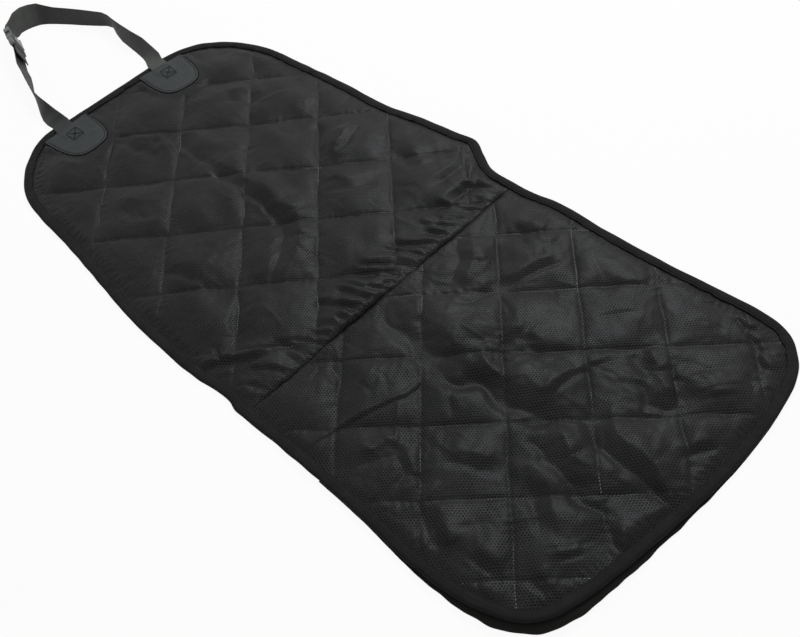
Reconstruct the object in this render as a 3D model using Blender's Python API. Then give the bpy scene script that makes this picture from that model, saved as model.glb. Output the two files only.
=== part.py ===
"""Quilted front-seat cover for pets, lying open as it does when it comes off the seat.

Metres, +Z up. +X runs across the cover, +Y runs from the seat panel over the back panel to the
headrest strap. The origin is on the underside, in the middle of the back panel's lower edge, and
the cover lies on the plane Z = 0.
"""

import math

import bmesh
import bpy
from mathutils import Matrix, Vector
from mathutils.geometry import intersect_point_line

# Clearance between two pieces that touch on the real cover
GAP = 0.0003

# Panels
PANEL_WIDTH = 0.520
SEAT_LENGTH = 0.480
BACK_LENGTH = 0.648
SEAM_Y = -0.005
SEAM_HEIGHT = 0.0035

# The cover's edge beside the seam: distance from the seam, and reach beyond half the panel's width
BACK_RIGHT_SIDE = (
    (0.017, -0.0025),
    (0.045, -0.001),
    (0.075, 0.0155),
    (0.105, 0.031),
    (0.135, 0.0265),
    (0.195, 0.0195),
    (0.265, 0.0065),
    (0.355, 0.0035),
    (0.445, -0.0035),
)
BACK_LEFT_SIDE = (
    (0.017, -0.001),
    (0.030, -0.0045),
    (0.045, -0.0055),
    (0.090, -0.0005),
    (0.180, -0.0005),
    (0.265, -0.0065),
    (0.355, -0.0185),
    (0.445, -0.029),
)
SEAT_RIGHT_SIDE = (
    (0.017, -0.0025),
    (0.070, 0.0045),
    (0.150, 0.0025),
    (0.265, 0.005),
    (0.335, 0.0095),
)
SEAT_LEFT_SIDE = ((0.017, -0.001), (0.085, -0.0012), (0.205, 0.001))

# The corners: distance in from the far edge, and reach beyond half the panel's width
BACK_RIGHT_SHOULDER = (
    (0.117, -0.013),
    (0.0565, -0.040),
    (0.0325, -0.060),
    (0.016, -0.080),
    (0.006, -0.100),
    (0.000, -0.122),
    (0.000, -0.200),
)
BACK_LEFT_SHOULDER = (
    (0.147, -0.0335),
    (0.087, -0.047),
    (0.064, -0.060),
    (0.039, -0.080),
    (0.0215, -0.100),
    (0.008, -0.120),
    (0.000, -0.142),
    (0.000, -0.200),
)
SEAT_RIGHT_CORNER = (
    (0.095, 0.0115),
    (0.065, 0.0085),
    (0.035, -0.0085),
    (0.0245, -0.020),
    (0.012, -0.040),
    (0.005, -0.060),
    (0.000, -0.090),
)
SEAT_LEFT_CORNER = (
    (0.178, 0.006),
    (0.128, 0.003),
    (0.085, -0.007),
    (0.055, -0.022),
    (0.037, -0.043),
    (0.026, -0.072),
    (0.018, -0.110),
    (0.009, -0.170),
)

# Edge binding, a folded tape that grips the panels' thin edge
BINDING_WIDTH = 0.014
BINDING_HEIGHT = 0.0065
BINDING_WALL = 0.0016
EDGE_SETBACK = 0.0022

# Quilting: the angle of one set of lines, the spacing of both sets and a point where two lines cross
SEAT_QUILT = dict(angle=math.radians(42.82), across=0.1011, along=0.1011, cross=(0.0143, -0.1881))
BACK_QUILT = dict(angle=math.radians(46.60), across=0.1070, along=0.1100, cross=(0.0260, 0.3180))
STITCH_HEIGHT = 0.0050
QUILT_PUFF = 0.0070
QUILT_FULLNESS = 2.4
CUTS_PER_DIAMOND = 5
EDGE_ROLL = 0.016
SEAM_ROLL = 0.012

# Gathers where the back panel is drawn in along the seam
GATHER_DEPTH = 0.072
GATHER_PITCH = 0.030
GATHER_HEIGHT = 0.0026
GATHER_REACH = 0.034
CUTS_PER_GATHER = 4
GATHER_ROWS = (0.007, 0.018, 0.033, 0.051)

# Folds in the lying cloth: start, end, half width and height, which is negative for a dent
FOLDS = (
    ((0.085, -0.075), (-0.100, -0.400), 0.030, -0.0028),
    ((-0.030, -0.048), (-0.180, -0.060), 0.016, 0.0016),
    ((-0.240, 0.060), (-0.165, 0.035), 0.012, 0.0040),
    ((0.060, 0.045), (0.190, 0.085), 0.018, 0.0034),
    ((0.120, 0.150), (0.235, 0.120), 0.022, 0.0026),
)

# The seat panel lies on its tucked skirt, and its near left corner stands up on it
SKIRT_LIFT = 0.0023
CORNER_LIFT = 0.0120
CORNER_SIDE_REACH = 0.120
CORNER_FRONT_REACH = 0.170
SKIRT_START = 0.135
SKIRT_TUCK = 0.055
SKIRT_HOLD = 0.010
SKIRT_THICKNESS = 0.0007
SKIRT_BULGE = 0.0100

# Patches and headrest strap
PATCH_SPACING = 0.1913
PATCH_MIDDLE_X = 0.0070
PATCH_WIDTH = 0.0820
PATCH_DEPTH = 0.078
PATCH_FULLNESS = 3.2
PATCH_TURN = math.radians(4.0)
PATCH_THICKNESS = 0.0030
PATCH_EDGE_INSET = 0.0172
PATCH_BED_HEIGHT = 0.0070
PATCH_BED_MARGIN = 0.004
WEBBING_WIDTH = 0.030
WEBBING_THICKNESS = 0.0015
WEBBING_UNDER_PATCH = 0.026

# Side-release buckle, standing on its long edge and leaning outwards
BUCKLE_WIDTH = 0.0385
BUCKLE_PLACE = (-0.0160, 0.8670)
BUCKLE_HEADING = math.radians(250.0)
BUCKLE_LEAN = math.radians(75.0)
SOCKET_LENGTH = 0.0330
SOCKET_THICKNESS = 0.0105
SOCKET_WALL = 0.0023
PLUG_LENGTH = 0.0205
PLUG_THICKNESS = 0.0080
PRONG_THICKNESS = 0.0052
BAR_RADIUS = 0.0016
BAR_SETBACK = 0.0022
WEBBING_SLOT_LENGTH = 0.0064
LOOP_TAIL = 0.014
STRAP_TAIL = 0.030

HALF_WIDTH = PANEL_WIDTH / 2
TOP_Y = SEAM_Y + BACK_LENGTH
FRONT_Y = SEAM_Y - SEAT_LENGTH
TONGUE_LOW = BINDING_WALL + GAP
TONGUE_HIGH = BINDING_HEIGHT - BINDING_WALL - GAP
LIP_INSET = BINDING_WIDTH + GAP


def clear_scene():
    for obj in list(bpy.data.objects):
        bpy.data.objects.remove(obj, do_unlink=True)


def material(name, colour, roughness, metallic=0.0):
    mat = bpy.data.materials.new(name)
    mat.use_nodes = True
    shader = mat.node_tree.nodes["Principled BSDF"]
    shader.inputs["Base Color"].default_value = (*colour, 1.0)
    shader.inputs["Roughness"].default_value = roughness
    shader.inputs["Metallic"].default_value = metallic
    return mat


def smooth_step(value):
    t = min(max(value, 0.0), 1.0)
    return t * t * (3 - 2 * t)


def slope_at(before, point, after):
    """The curve's direction at a point, where the nearer neighbour counts for more."""
    behind, ahead = (point - before).length, (after - point).length
    if behind == 0 or ahead == 0:
        return (after - before) / (behind + ahead)
    return ((point - before) * (ahead / behind) + (after - point) * (behind / ahead)) / (behind + ahead)


def spline_point(before, start, end, after, t):
    """A smooth curve from start to end that also heeds their neighbours."""
    span = (end - start).length
    return (
        start * (2 * t**3 - 3 * t**2 + 1)
        + slope_at(before, start, end) * (span * (t**3 - 2 * t**2 + t))
        + end * (3 * t**2 - 2 * t**3)
        + slope_at(start, end, after) * (span * (t**3 - t**2))
    )


def sample_loop(points, turn_per_step, longest_step):
    """A closed smooth curve through the points, with more steps where it turns more."""
    count = len(points)
    sampled = []
    for i in range(count):
        before, start, end, after = (points[(i + k - 1) % count] for k in range(4))
        turn = (end - before).angle(after - start)
        length = (end - start).length
        steps = max(1, math.ceil(turn / turn_per_step), math.ceil(length / longest_step))
        for k in range(steps):
            sampled.append(spline_point(before, start, end, after, k / steps))
    return sampled


def cover_outline():
    """The cover's outer edge, anticlockwise from the seam's right end."""
    right = [Vector((HALF_WIDTH + BACK_RIGHT_SIDE[0][1], SEAM_Y))]
    right += [Vector((HALF_WIDTH + reach, SEAM_Y + d)) for d, reach in BACK_RIGHT_SIDE]
    right += [Vector((HALF_WIDTH + reach, TOP_Y - d)) for d, reach in BACK_RIGHT_SHOULDER]
    left = [Vector((-HALF_WIDTH - reach, TOP_Y - d)) for d, reach in reversed(BACK_LEFT_SHOULDER)]
    left += [Vector((-HALF_WIDTH - reach, SEAM_Y + d)) for d, reach in reversed(BACK_LEFT_SIDE)]
    left += [Vector((-HALF_WIDTH - BACK_LEFT_SIDE[0][1], SEAM_Y))]
    left += [Vector((-HALF_WIDTH - reach, SEAM_Y - d)) for d, reach in SEAT_LEFT_SIDE]
    left += [Vector((-HALF_WIDTH - reach, FRONT_Y + d)) for d, reach in SEAT_LEFT_CORNER]
    front = [Vector((HALF_WIDTH + reach, FRONT_Y + d)) for d, reach in reversed(SEAT_RIGHT_CORNER)]
    front += [Vector((HALF_WIDTH + reach, SEAM_Y - d)) for d, reach in reversed(SEAT_RIGHT_SIDE)]
    return sample_loop(right + left + front, math.radians(16), 0.075)


OUTLINE = cover_outline()


def edge_normals(outline):
    """Outward mitre at each corner of a closed anticlockwise outline."""
    normals = []
    for i, point in enumerate(outline):
        ahead = (outline[(i + 1) % len(outline)] - point).normalized()
        behind = (point - outline[i - 1]).normalized()
        first = Vector((behind.y, -behind.x))
        second = Vector((ahead.y, -ahead.x))
        mitre = (first + second).normalized()
        normals.append(mitre / mitre.dot(first))
    return normals


NORMALS = edge_normals(OUTLINE)


def inset_outline(distance):
    return [p - n * distance for p, n in zip(OUTLINE, NORMALS)]


LIP_LINE = inset_outline(LIP_INSET)


def distance_to_lip(x, y):
    here = Vector((x, y))
    nearest = 1.0
    for i, start in enumerate(LIP_LINE):
        end = LIP_LINE[(i + 1) % len(LIP_LINE)]
        foot, share = intersect_point_line(here, start, end)
        foot = start if share < 0 else end if share > 1 else foot
        nearest = min(nearest, (foot.to_2d() - here).length)
    return nearest


def corner_rise(x, y):
    """1 at the seat panel's near left corner, falling to 0 along both of its edges."""
    across = max(x + HALF_WIDTH, 0.0) / CORNER_FRONT_REACH
    along = max(y - FRONT_Y, 0.0) / CORNER_SIDE_REACH
    return math.exp(-(across**2) - along**2)


def lift(x, y):
    """How far the lying cover is off the surface below it."""
    on_skirt = smooth_step((SEAM_Y - 0.020 - y) / (SKIRT_START - 0.040))
    return SKIRT_LIFT * on_skirt + CORNER_LIFT * corner_rise(x, y) * on_skirt


def lifted(point, z):
    return (point.x, point.y, z + lift(point.x, point.y))


def fold_height(x, y):
    """Broad folds and dents of the lying cloth."""
    total = 0.0
    here = Vector((x, y))
    for start, end, half_width, height in FOLDS:
        start, end = Vector(start), Vector(end)
        foot, share = intersect_point_line(here, start, end)
        share = min(max(share, 0.0), 1.0)
        foot = start.lerp(end, share)
        total += height * math.exp(-(((foot - here).length / half_width) ** 2))
    return total


def gather_height(x, above_seam):
    """Ripples at right angles to the seam that die out up the back panel."""
    swell = 0.65 + 0.35 * math.sin(9.0 * x + 1.1)
    ripple = math.cos(2 * math.pi * (x + 0.006 * math.sin(17 * x)) / GATHER_PITCH)
    fade = math.exp(-((above_seam / GATHER_REACH) ** 2))
    return GATHER_HEIGHT * swell * ripple * fade


def quilt_height(x, y, quilt):
    """Stitched lines lie low, and each diamond between them is puffed up."""
    offset = Vector((x, y)) - Vector(quilt["cross"])
    direction = Vector((math.cos(quilt["angle"]), math.sin(quilt["angle"])))
    along = (offset.dot(direction) / quilt["along"]) % 1.0
    across = (offset.dot(Vector((-direction.y, direction.x))) / quilt["across"]) % 1.0
    puff = (1 - abs(2 * along - 1) ** QUILT_FULLNESS) * (1 - abs(2 * across - 1) ** QUILT_FULLNESS)
    return STITCH_HEIGHT + QUILT_PUFF * puff


def patch_centres():
    return [PATCH_MIDDLE_X - PATCH_SPACING / 2, PATCH_MIDDLE_X + PATCH_SPACING / 2]


def in_patch_bed(x, y):
    tolerance = 0.00001
    reach = PATCH_WIDTH / 2 + PATCH_BED_MARGIN + tolerance
    low = TOP_Y - PATCH_EDGE_INSET - PATCH_DEPTH - PATCH_BED_MARGIN - tolerance
    return y > low and any(abs(x - centre) < reach for centre in patch_centres())


def top_height(x, y, quilt, is_back):
    if is_back and in_patch_bed(x, y):
        return PATCH_BED_HEIGHT
    height = quilt_height(x, y, quilt) + fold_height(x, y)
    from_seam = abs(y - SEAM_Y)
    if is_back:
        height += gather_height(x, from_seam)
    height = max(height, SEAM_HEIGHT)
    height = SEAM_HEIGHT + (height - SEAM_HEIGHT) * smooth_step(0.25 + from_seam / SEAM_ROLL)
    roll = math.sin(0.5 * math.pi * min(distance_to_lip(x, y) / EDGE_ROLL, 1.0))
    return TONGUE_HIGH + (height - TONGUE_HIGH) * roll


def cut_faces(mesh, point, normal, choose):
    faces = [f for f in mesh.faces if choose(f)]
    edges = list({e for f in faces for e in f.edges})
    verts = list({v for f in faces for v in f.verts})
    bmesh.ops.bisect_plane(
        mesh, geom=verts + edges + faces, dist=0.000001, plane_co=point, plane_no=normal
    )


def cut_along_quilting(mesh, quilt, steps, choose):
    """Cuts the chosen faces along both sets of quilting lines, with steps cuts to each diamond."""
    direction = Vector((math.cos(quilt["angle"]), math.sin(quilt["angle"]), 0))
    sideways = Vector((-direction.y, direction.x, 0))
    cross = Vector((*quilt["cross"], 0))
    for axis, spacing in ((direction, quilt["along"]), (sideways, quilt["across"])):
        reach = math.ceil((PANEL_WIDTH + BACK_LENGTH) / spacing)
        for k in range(-reach * steps, reach * steps + 1):
            cut_faces(mesh, cross + axis * (spacing * k / steps), axis, choose)


TOP, BOTTOM, EDGE = 1, 2, 0


def pad_blank(side):
    """The whole cover as one thin closed slab with a tongue for the binding, cut at the seam."""
    mesh = bmesh.new()
    tongue = inset_outline(EDGE_SETBACK)
    rings = (
        (LIP_LINE, TONGUE_HIGH),
        (tongue, TONGUE_HIGH),
        (tongue, TONGUE_LOW),
        (LIP_LINE, TONGUE_LOW),
        (LIP_LINE, 0.0),
    )
    loops = [[mesh.verts.new(lifted(p, z)) for p in line] for line, z in rings]
    for inner, outer in zip(loops, loops[1:]):
        for i in range(len(inner)):
            k = (i + 1) % len(inner)
            mesh.faces.new((inner[i], outer[i], outer[k], inner[k]))
    mesh.faces.new(loops[0]).material_index = TOP
    mesh.faces.new(list(reversed(loops[-1]))).material_index = BOTTOM
    cut = bmesh.ops.bisect_plane(
        mesh,
        geom=mesh.verts[:] + mesh.edges[:] + mesh.faces[:],
        dist=0.000001,
        plane_co=(0, SEAM_Y + side * GAP / 2, 0),
        plane_no=(0, -side, 0),
        clear_outer=True,
    )
    rim = [item for item in cut["geom_cut"] if isinstance(item, bmesh.types.BMEdge)]
    bmesh.ops.contextual_create(mesh, geom=rim, mat_nr=EDGE)
    return mesh


def quilted_panel(name, side, quilt, mat):
    is_back = side > 0
    mesh = pad_blank(side)
    strip_y = SEAM_Y + GATHER_DEPTH

    def in_strip(face):
        return face.material_index == TOP and face.calc_center_median().y < strip_y

    def above_strip(face):
        return face.material_index == TOP and not (is_back and in_strip(face))

    if is_back:
        cut_faces(mesh, (0, strip_y, 0), (0, 1, 0), lambda f: f.material_index == TOP)
        columns = math.ceil(HALF_WIDTH / GATHER_PITCH + 1) * CUTS_PER_GATHER
        for k in range(-columns, columns + 1):
            cut_faces(mesh, (k * GATHER_PITCH / CUTS_PER_GATHER, 0, 0), (1, 0, 0), in_strip)
        for row in GATHER_ROWS:
            cut_faces(mesh, (0, SEAM_Y + row, 0), (0, 1, 0), in_strip)
    cut_along_quilting(mesh, quilt, CUTS_PER_DIAMOND, above_strip)
    cut_along_quilting(mesh, quilt, 1, lambda f: f.material_index == BOTTOM)
    if is_back:
        low = TOP_Y - PATCH_EDGE_INSET - PATCH_DEPTH - PATCH_BED_MARGIN
        reach = PATCH_WIDTH / 2 + PATCH_BED_MARGIN

        def by_patch(face):
            centre = face.calc_center_median()
            near = min(abs(centre.x - c) for c in patch_centres())
            return face.material_index == TOP and centre.y > low - 0.03 and near < reach + 0.03

        cut_faces(mesh, (0, low, 0), (0, 1, 0), by_patch)
        cut_faces(mesh, (0, TOP_Y - PATCH_EDGE_INSET, 0), (0, 1, 0), by_patch)
        for centre in patch_centres():
            for x in (centre - reach, centre + reach):
                cut_faces(mesh, (x, 0, 0), (1, 0, 0), by_patch)

    for vert in mesh.verts:
        kinds = {f.material_index for f in vert.link_faces}
        at_lip = any(f.material_index == EDGE and abs(f.normal.z) > 0.5 for f in vert.link_faces)
        x, y = vert.co.x, vert.co.y
        if TOP in kinds and not at_lip:
            vert.co.z = lift(x, y) + top_height(x, y, quilt, is_back)
        elif kinds == {BOTTOM}:
            vert.co.z = lift(x, y)
    return finish_piece(name, mesh, mat)


def finish_piece(name, mesh, mat):
    """Closes the mesh, shades it and gives it a name."""
    for face in mesh.faces:
        face.material_index = 0
        face.smooth = True
    bmesh.ops.triangulate(mesh, faces=mesh.faces[:])
    bmesh.ops.recalc_face_normals(mesh, faces=mesh.faces[:])
    data = bpy.data.meshes.new(name)
    mesh.to_mesh(data)
    mesh.free()
    data.set_sharp_from_angle(angle=math.radians(40))
    data.materials.append(mat)
    obj = bpy.data.objects.new(name, data)
    bpy.context.collection.objects.link(obj)
    return obj


def bridge_sections(mesh, sections, closed_path):
    """Joins closed sections, one after another, into a skin."""
    rings = [[mesh.verts.new(p) for p in section] for section in sections]
    pairs = list(zip(rings, rings[1:]))
    if closed_path:
        pairs.append((rings[-1], rings[0]))
    for first, second in pairs:
        for i in range(len(first)):
            k = (i + 1) % len(first)
            mesh.faces.new((first[i], first[k], second[k], second[i]))
    if not closed_path:
        mesh.faces.new(list(reversed(rings[0])))
        mesh.faces.new(rings[-1])


def edge_binding(mat):
    """A tape folded over the panels' thin edge, swept once round the cover."""
    top, wall, width = BINDING_HEIGHT, BINDING_WALL, BINDING_WIDTH
    inside = EDGE_SETBACK - GAP
    profile = (
        (inside, wall),
        (width, wall),
        (width, 0.0),
        (0.0030, 0.0),
        (0.0006, 0.0014),
        (0.0, top / 2),
        (0.0010, top - 0.0012),
        (0.0040, top),
        (0.0100, top),
        (width, top - 0.0006),
        (width, top - wall),
        (inside, top - wall),
    )
    sections = [
        [lifted(point - normal * inset, z) for inset, z in profile]
        for point, normal in zip(OUTLINE, NORMALS)
    ]
    mesh = bmesh.new()
    bridge_sections(mesh, sections, closed_path=True)
    return finish_piece("edge_binding", mesh, mat)


def seat_skirt(mat):
    """Thin cloth sewn under the seat panel's edge and tucked below it, fuller at the near corner."""
    half = SKIRT_THICKNESS / 2
    sections = []
    for point, normal in zip(OUTLINE, NORMALS):
        if point.y > SEAM_Y - SKIRT_START:
            continue
        bulge = SKIRT_BULGE * corner_rise(point.x, point.y) ** 0.6
        sewn = point - normal * SKIRT_HOLD
        turned = point + normal * (0.6 * bulge - 0.0030)
        rise = lift(turned.x, turned.y)
        middle = (
            Vector((-SKIRT_HOLD, lift(sewn.x, sewn.y) - GAP - half)),
            Vector((0.6 * bulge - 0.0030, rise - GAP - half - 0.0001)),
            Vector((bulge - 0.0006, 0.55 * rise)),
            Vector((0.85 * bulge - 0.0010, 0.20 * rise + 0.0004)),
            Vector((0.30 * bulge - 0.0060, half)),
            Vector((-SKIRT_TUCK, half)),
        )
        outer, inner = [], []
        for i, spot in enumerate(middle):
            ahead = middle[min(i + 1, len(middle) - 1)] - middle[max(i - 1, 0)]
            offset = Vector((-ahead.y, ahead.x)).normalized() * half
            outer.append(spot + offset)
            inner.append(spot - offset)
        ring = outer + list(reversed(inner))
        sections.append([(*(point + normal * spot.x), max(spot.y, 0.0)) for spot in ring])
    mesh = bmesh.new()
    bridge_sections(mesh, sections, closed_path=False)
    return finish_piece("seat_skirt", mesh, mat)


def box(name, low, high):
    mesh = bmesh.new()
    bmesh.ops.create_cube(mesh, size=1.0)
    low, high = Vector(low), Vector(high)
    for vert in mesh.verts:
        vert.co = Vector([high[i] if vert.co[i] > 0 else low[i] for i in range(3)])
    data = bpy.data.meshes.new(name)
    mesh.to_mesh(data)
    mesh.free()
    obj = bpy.data.objects.new(name, data)
    bpy.context.collection.objects.link(obj)
    return obj


def prism(name, outline, low, high):
    """A flat outline of (x, y) points, anticlockwise, drawn up from low to high."""
    mesh = bmesh.new()
    bottom = [mesh.verts.new((*p, low)) for p in outline]
    top = [mesh.verts.new((*p, high)) for p in outline]
    mesh.faces.new(list(reversed(bottom)))
    mesh.faces.new(top)
    for i in range(len(outline)):
        k = (i + 1) % len(outline)
        mesh.faces.new((bottom[i], bottom[k], top[k], top[i]))
    data = bpy.data.meshes.new(name)
    mesh.to_mesh(data)
    mesh.free()
    obj = bpy.data.objects.new(name, data)
    bpy.context.collection.objects.link(obj)
    return obj


def combine(obj, tool, operation):
    tool.hide_render = True
    tool.display_type = "WIRE"
    modifier = obj.modifiers.new(tool.name, "BOOLEAN")
    modifier.operation = operation
    modifier.solver = "EXACT"
    modifier.object = tool


def round_edges(obj, width, segments=2):
    bevel = obj.modifiers.new("soft_edges", "BEVEL")
    bevel.width = width
    bevel.segments = segments
    bevel.limit_method = "ANGLE"
    bevel.angle_limit = math.radians(35)


def patch_place(centre_x):
    """The middle of a patch's straight edge. Each patch is turned a little, its outer end lower."""
    turn = math.copysign(PATCH_TURN, PATCH_MIDDLE_X - centre_x)
    return Matrix.Translation((centre_x, TOP_Y - PATCH_EDGE_INSET, 0)) @ Matrix.Rotation(turn, 4, "Z")


def patch(name, centre_x, mat):
    """A half-round patch sewn over the strap's end, with a pocket for the webbing below it."""
    half = PATCH_WIDTH / 2
    outline = []
    steps = 20
    for k in range(steps + 1):
        angle = math.pi * k / steps
        x = -half * math.copysign(abs(math.cos(angle)) ** (2 / PATCH_FULLNESS), math.cos(angle))
        outline.append((x, -PATCH_DEPTH * math.sin(angle) ** (2 / PATCH_FULLNESS)))
    bed = PATCH_BED_HEIGHT + GAP
    obj = prism(name, outline, bed, bed + PATCH_THICKNESS)
    round_edges(obj, 0.0008, 1)
    slot = WEBBING_WIDTH / 2 + GAP
    pocket = box(
        name + "_pocket",
        (-slot, -WEBBING_UNDER_PATCH - GAP, bed - 0.002),
        (slot, 0.004, bed + WEBBING_THICKNESS + GAP),
    )
    place = patch_place(centre_x)
    obj.data.transform(place)
    pocket.data.transform(place)
    combine(obj, pocket, "DIFFERENCE")
    obj.data.materials.append(mat)
    obj.data.shade_smooth()
    obj.data.set_sharp_from_angle(angle=math.radians(35))
    return obj


def buckle_frame():
    """Along the buckle towards its plug, across its width from the lower edge up, and through it."""
    along = Vector((math.cos(BUCKLE_HEADING), math.sin(BUCKLE_HEADING), 0))
    outward = Vector((along.y, -along.x, 0))
    across = outward * math.cos(BUCKLE_LEAN) + Vector((0, 0, 1)) * math.sin(BUCKLE_LEAN)
    through = along.cross(across)
    foot = SOCKET_THICKNESS / 2 * abs(through.z) + GAP
    centre = Vector((*BUCKLE_PLACE, foot)) + across * (BUCKLE_WIDTH / 2)
    return Matrix(
        (
            (along.x, across.x, through.x, centre.x),
            (along.y, across.y, through.y, centre.y),
            (along.z, across.z, through.z, centre.z),
            (0, 0, 0, 1),
        )
    )


BUCKLE = buckle_frame()
SOCKET_MOUTH = 0.004
SOCKET_END = SOCKET_MOUTH - SOCKET_LENGTH
SOCKET_BAR = SOCKET_END + BAR_SETBACK
PLUG_FACE = SOCKET_MOUTH + GAP
PLUG_END = PLUG_FACE + PLUG_LENGTH
PLUG_BAR = PLUG_END - BAR_SETBACK
SLOT_HALF = WEBBING_WIDTH / 2 + 0.001
HALF_BUCKLE = BUCKLE_WIDTH / 2
HEAD_FRONT = -0.0138
HEAD_BACK = -0.0050
PRONG_OUTER = HALF_BUCKLE - 0.0058
PRONG_WIDTH = 0.0040
HEAD_OUTER = HALF_BUCKLE - 0.0012
CAVITY_HALF = HALF_BUCKLE - SOCKET_WALL


def place_in_buckle(obj, tools, mat):
    """Applies the modifiers while the half is still square to the axes, then moves it to its place."""
    graph = bpy.context.evaluated_depsgraph_get()
    obj.data = bpy.data.meshes.new_from_object(obj.evaluated_get(graph))
    obj.modifiers.clear()
    for tool in tools:
        bpy.data.objects.remove(tool, do_unlink=True)
    obj.data.transform(BUCKLE)
    obj.data.materials.append(mat)
    obj.data.shade_smooth()
    obj.data.set_sharp_from_angle(angle=math.radians(35))
    return obj


def mirrored(half_outline):
    """A closed outline from its half on the +Y side, given from the tip to the end."""
    return [(x, -y) for x, y in half_outline] + [(x, y) for x, y in reversed(half_outline)]


def bar(name, x):
    """A round cross bar for webbing, from cheek to cheek."""
    data = bpy.data.meshes.new(name)
    mesh = bmesh.new()
    turn = Matrix.Translation((x, 0, 0)) @ Matrix.Rotation(math.radians(90), 4, "X")
    bmesh.ops.create_cone(
        mesh,
        cap_ends=True,
        segments=10,
        radius1=BAR_RADIUS,
        radius2=BAR_RADIUS,
        depth=2 * SLOT_HALF + 0.002,
        matrix=turn,
    )
    mesh.to_mesh(data)
    mesh.free()
    obj = bpy.data.objects.new(name, data)
    bpy.context.collection.objects.link(obj)
    return obj


def buckle_socket(mat):
    """The hollow half: a housing open at its mouth and sides, and a cross bar for the webbing."""
    half, end, mouth = HALF_BUCKLE, SOCKET_END, SOCKET_MOUTH
    waist = half - 0.0012
    outline = mirrored(
        (
            (end, half - 0.0040),
            (end + 0.0022, half - 0.0012),
            (end + 0.0120, half),
            (mouth - 0.0200, waist),
            (mouth - 0.0060, waist),
            (mouth - 0.0012, half - 0.0004),
            (mouth, half - 0.0014),
        )
    )
    outline.reverse()
    thick = SOCKET_THICKNESS / 2
    body = prism("buckle_socket", outline, -thick, thick)
    round_edges(body, 0.0014)
    shoulder = SOCKET_BAR + BAR_RADIUS + WEBBING_SLOT_LENGTH
    slot = box("socket_slot", (SOCKET_END - 0.004, -SLOT_HALF, -0.01), (shoulder, SLOT_HALF, 0.01))
    cavity_high = PRONG_THICKNESS / 2 + GAP
    cavity_end = HEAD_FRONT - 0.0030
    cavity = box(
        "socket_cavity", (cavity_end, -CAVITY_HALF, -cavity_high), (mouth + 0.002, CAVITY_HALF, cavity_high)
    )
    window_high = cavity_high + 0.0008
    window = box(
        "socket_windows",
        (HEAD_FRONT - 0.0008, -half - 0.002, -window_high),
        (HEAD_BACK + GAP, half + 0.002, window_high),
    )
    cross_bar = bar("socket_bar", SOCKET_BAR)
    for tool in (slot, cavity, window):
        combine(body, tool, "DIFFERENCE")
    combine(body, cross_bar, "UNION")
    return place_in_buckle(body, (slot, cavity, window, cross_bar), mat)


def buckle_plug(mat):
    """The half with two sprung prongs and a guide blade, and a cross bar for the webbing."""
    outer, inner = PRONG_OUTER, PRONG_OUTER - PRONG_WIDTH
    blade = mirrored(
        (
            (HEAD_FRONT + 0.0030, 0.0018),
            (HEAD_FRONT + 0.0050, 0.0028),
            (PLUG_FACE, 0.0032),
            (PLUG_FACE, inner),
            (HEAD_BACK + 0.0010, inner),
            (HEAD_FRONT - 0.0002, inner + 0.0024),
            (HEAD_FRONT - 0.0012, outer),
            (HEAD_FRONT, outer + 0.0026),
            (HEAD_FRONT + 0.0038, HEAD_OUTER),
            (HEAD_BACK - 0.0012, HEAD_OUTER - 0.0006),
            (HEAD_BACK, outer + 0.0024),
            (HEAD_BACK + 0.0016, outer),
            (PLUG_FACE, outer),
            (PLUG_FACE + 0.0030, outer),
        )
    )
    blade.reverse()
    arms = prism("plug_arms", blade, -PRONG_THICKNESS / 2, PRONG_THICKNESS / 2)
    half, end = HALF_BUCKLE, PLUG_END
    outline = mirrored(
        (
            (PLUG_FACE, half - 0.0016),
            (PLUG_FACE + 0.0016, half),
            (end - 0.0060, half),
            (end - 0.0016, half - 0.0012),
            (end, half - 0.0036),
        )
    )
    outline.reverse()
    thick = PLUG_THICKNESS / 2
    body = prism("buckle_plug", outline, -thick, thick)
    round_edges(body, 0.0012)
    slot_start = PLUG_BAR - BAR_RADIUS - WEBBING_SLOT_LENGTH
    slot = box("plug_slot", (slot_start, -SLOT_HALF, -0.01), (end + 0.004, SLOT_HALF, 0.01))
    ladder_start = PLUG_FACE + 0.0042
    ladder = box(
        "plug_ladder", (ladder_start, -SLOT_HALF, -0.01), (ladder_start + 0.0040, SLOT_HALF, 0.01)
    )
    cross_bar = bar("plug_bar", PLUG_BAR)
    combine(body, slot, "DIFFERENCE")
    combine(body, ladder, "DIFFERENCE")
    combine(body, cross_bar, "UNION")
    combine(body, arms, "UNION")
    return place_in_buckle(body, (slot, ladder, cross_bar, arms), mat)


def in_buckle(along, through):
    """The webbing's two edges at a place in the buckle."""
    half = WEBBING_WIDTH / 2
    return tuple(BUCKLE @ Vector((along, side * half, through)) for side in (-1, 1))


def loop_round_bar(bar_x, towards, tail, legs_apart=0.0013):
    """Webbing stations that come up to a bar, go round it and lie back against themselves."""
    radius = BAR_RADIUS + GAP + WEBBING_THICKNESS / 2
    stations = [in_buckle(bar_x - towards * 0.0085, legs_apart)]
    steps = 8
    for k in range(steps + 1):
        angle = math.radians(100) - math.radians(200) * k / steps
        stations.append(
            in_buckle(bar_x + towards * radius * math.cos(angle), radius * math.sin(angle))
        )
    stations.append(in_buckle(bar_x - towards * 0.0085, -legs_apart))
    stations.append(in_buckle(bar_x - towards * tail, -legs_apart))
    return stations


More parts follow.
